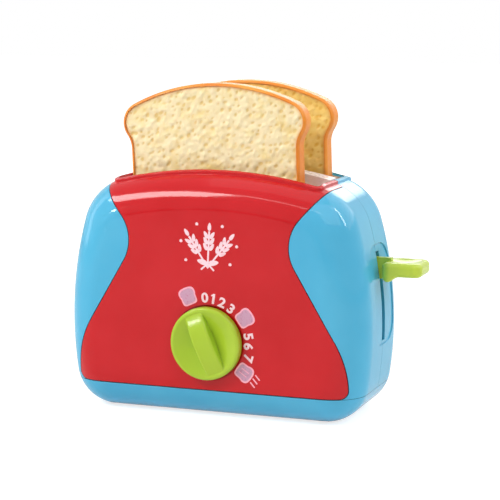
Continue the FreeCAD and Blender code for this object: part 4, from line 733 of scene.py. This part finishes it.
# the camera looks past a point above the middle of the table, which lands on aimPixel of a square
# frame so many pixels wide; degrees, metres, and mm for the lens and the sensor
view = {"azimuth": 20.2, "elevation": 8.7, "distance": 1.0405, "lens": 129.6, "sensor": 36,
        "aimHeight": 0.065, "aimPixel": (233.5, 293.6), "frame": 500}


def outward(turn, lift):
    # the direction at so many degrees from the dial's side and above the table
    turn, lift = math.radians(turn), math.radians(lift)
    return Vector((math.sin(turn) * math.cos(lift), -math.cos(turn) * math.cos(lift), math.sin(lift)))


def placeCamera():
    back = outward(view["azimuth"], view["elevation"])
    right = outward(view["azimuth"] + 90, 0)
    up = back.cross(right)
    perPixel = view["distance"] * view["sensor"] / view["lens"] / view["frame"]
    across = (view["aimPixel"][0] - view["frame"] / 2) * perPixel
    down = (view["aimPixel"][1] - view["frame"] / 2) * perPixel
    spot = Vector((0, 0, view["aimHeight"])) + back * view["distance"] - right * across + up * down
    bpy.ops.object.camera_add()
    camera = bpy.context.object
    camera.data.lens = view["lens"]
    camera.matrix_world = Matrix.Translation(spot) @ Matrix((right, up, back)).transposed().to_4x4()
    bpy.context.scene.camera = camera


# softboxes round the table: turned from the dial's side and raised, in degrees, at a distance in
# metres from a point this high, with a width, a height and watts
lampAimHeight = 0.09
studioLamps = {
    "keySoftbox": {"turn": -46, "raise": 39, "distance": 1.2, "size": (0.78, 0.26), "watts": 8.8},
    "topStrip": {"turn": 2, "raise": 46, "distance": 1.2, "size": (0.85, 0.045), "watts": 0.7},
    "dialGlint": {"turn": -36, "raise": 13, "distance": 1.2, "size": (0.10, 0.09), "watts": 0.8},
    "frontFill": {"turn": 55, "raise": 45, "distance": 1.3, "size": (1.1, 0.9), "watts": 4.7},
    "leftStrip": {"turn": -88, "raise": 20, "distance": 1.2, "size": (0.3, 0.9), "watts": 1.4},
    "rightStrip": {"turn": 93, "raise": 35, "distance": 1.1, "size": (0.035, 0.6), "watts": 1.9},
    "rightFill": {"turn": 130, "raise": 40, "distance": 1.4, "size": (1.6, 1.2), "watts": 8.6},
    "backSoftbox": {"turn": 188, "raise": 29, "distance": 1.4, "size": (1.0, 0.5), "watts": 6.0},
    "overhead": {"turn": 0, "raise": 89, "distance": 1.5, "size": (1.2, 1.2), "watts": 2.4},
}
worldLevels = {"onObject": 0.05, "seen": 1.0}


def areaLamp(name, lampSetup):
    away = outward(lampSetup["turn"], lampSetup["raise"])
    spot = Vector((0, 0, lampAimHeight)) + away * lampSetup["distance"]
    bpy.ops.object.light_add(type="AREA", location=spot)
    lamp = bpy.context.object
    lamp.name = name
    lamp.data.shape = "RECTANGLE"
    lamp.data.size, lamp.data.size_y = lampSetup["size"]
    lamp.data.energy = lampSetup["watts"]
    lamp.rotation_euler = away.to_track_quat("Z", "Y").to_euler()


def seenRays(tree):
    # the light path, and 1 for what is seen straight, in a reflection or through a clear piece
    path = addNode(tree, "ShaderNodeLightPath")
    mirrored = addNode(tree, "ShaderNodeMath", {"operation": "MAXIMUM"},
                       {0: path.outputs["Is Glossy Ray"], 1: path.outputs["Is Transmission Ray"]})
    seen = addNode(tree, "ShaderNodeMath", {"operation": "MAXIMUM"},
                   {0: path.outputs["Is Camera Ray"], 1: mirrored.outputs[0]})
    return path, seen.outputs[0]


def studioWorld():
    world = bpy.data.worlds.new("studio")
    bpy.context.scene.world = world
    world.use_nodes = True
    tree = world.node_tree
    tree.nodes.clear()
    path, seen = seenRays(tree)
    level = spread(tree, seen, (0, 1), (worldLevels["onObject"], worldLevels["seen"]))
    sky = addNode(tree, "ShaderNodeBackground", inputs={"Color": (1, 1, 1, 1), "Strength": level})
    addNode(tree, "ShaderNodeOutputWorld", inputs={"Surface": sky.outputs["Background"]})


# a seamless white table: it glows for the eye, the more the further out, from near to far in
# metres, so that only the contact shadow stays; the paper's fibres are in mm
tableTop = {"wide": 8, "glow": 1.56, "farGlow": 2.1, "near": 0.35, "far": 0.9, "mirroredGlow": 1.0,
            "glowShare": 0.5, "paper": "#F8F8F8", "paperLight": "#FCFCFC", "fibre": 3}


def whiteTable():
    bpy.ops.object.select_all(action="DESELECT")
    bpy.ops.mesh.primitive_plane_add(size=tableTop["wide"])
    table = bpy.context.object
    table.name = "table_top"
    material, tree = emptyMaterial("mattePaper")
    place = objectPlace(tree)
    fibre = cloudy(tree, place, tableTop["fibre"], 3.0)
    tone = tinted(tree, fibre, [(0.3, tableTop["paper"]), (0.7, tableTop["paperLight"])])
    paper = addNode(tree, "ShaderNodeBsdfDiffuse", inputs={"Color": tone})
    path, seen = seenRays(tree)
    reach = addNode(tree, "ShaderNodeVectorMath", {"operation": "LENGTH"}, {0: place})
    further = spread(tree, reach.outputs["Value"], (tableTop["near"], tableTop["far"]),
                     (tableTop["glow"], tableTop["farGlow"]))
    strength = spread(tree, path.outputs["Is Camera Ray"], (0, 1), (tableTop["mirroredGlow"], further))
    glow = addNode(tree, "ShaderNodeEmission", inputs={"Color": (1, 1, 1, 1), "Strength": strength})
    share = addNode(tree, "ShaderNodeMath", {"operation": "MULTIPLY"}, {0: seen, 1: tableTop["glowShare"]})
    mixed = addNode(tree, "ShaderNodeMixShader",
                    inputs={0: share.outputs[0], 1: paper.outputs["BSDF"], 2: glow.outputs["Emission"]})
    addNode(tree, "ShaderNodeOutputMaterial", inputs={"Surface": mixed.outputs[0]})
    table.data.materials.append(material)


placeCamera()
for name, lampSetup in studioLamps.items():
    areaLamp(name, lampSetup)
studioWorld()
whiteTable()
bpy.context.scene.view_settings.view_transform = "Standard"
print("studio: done")
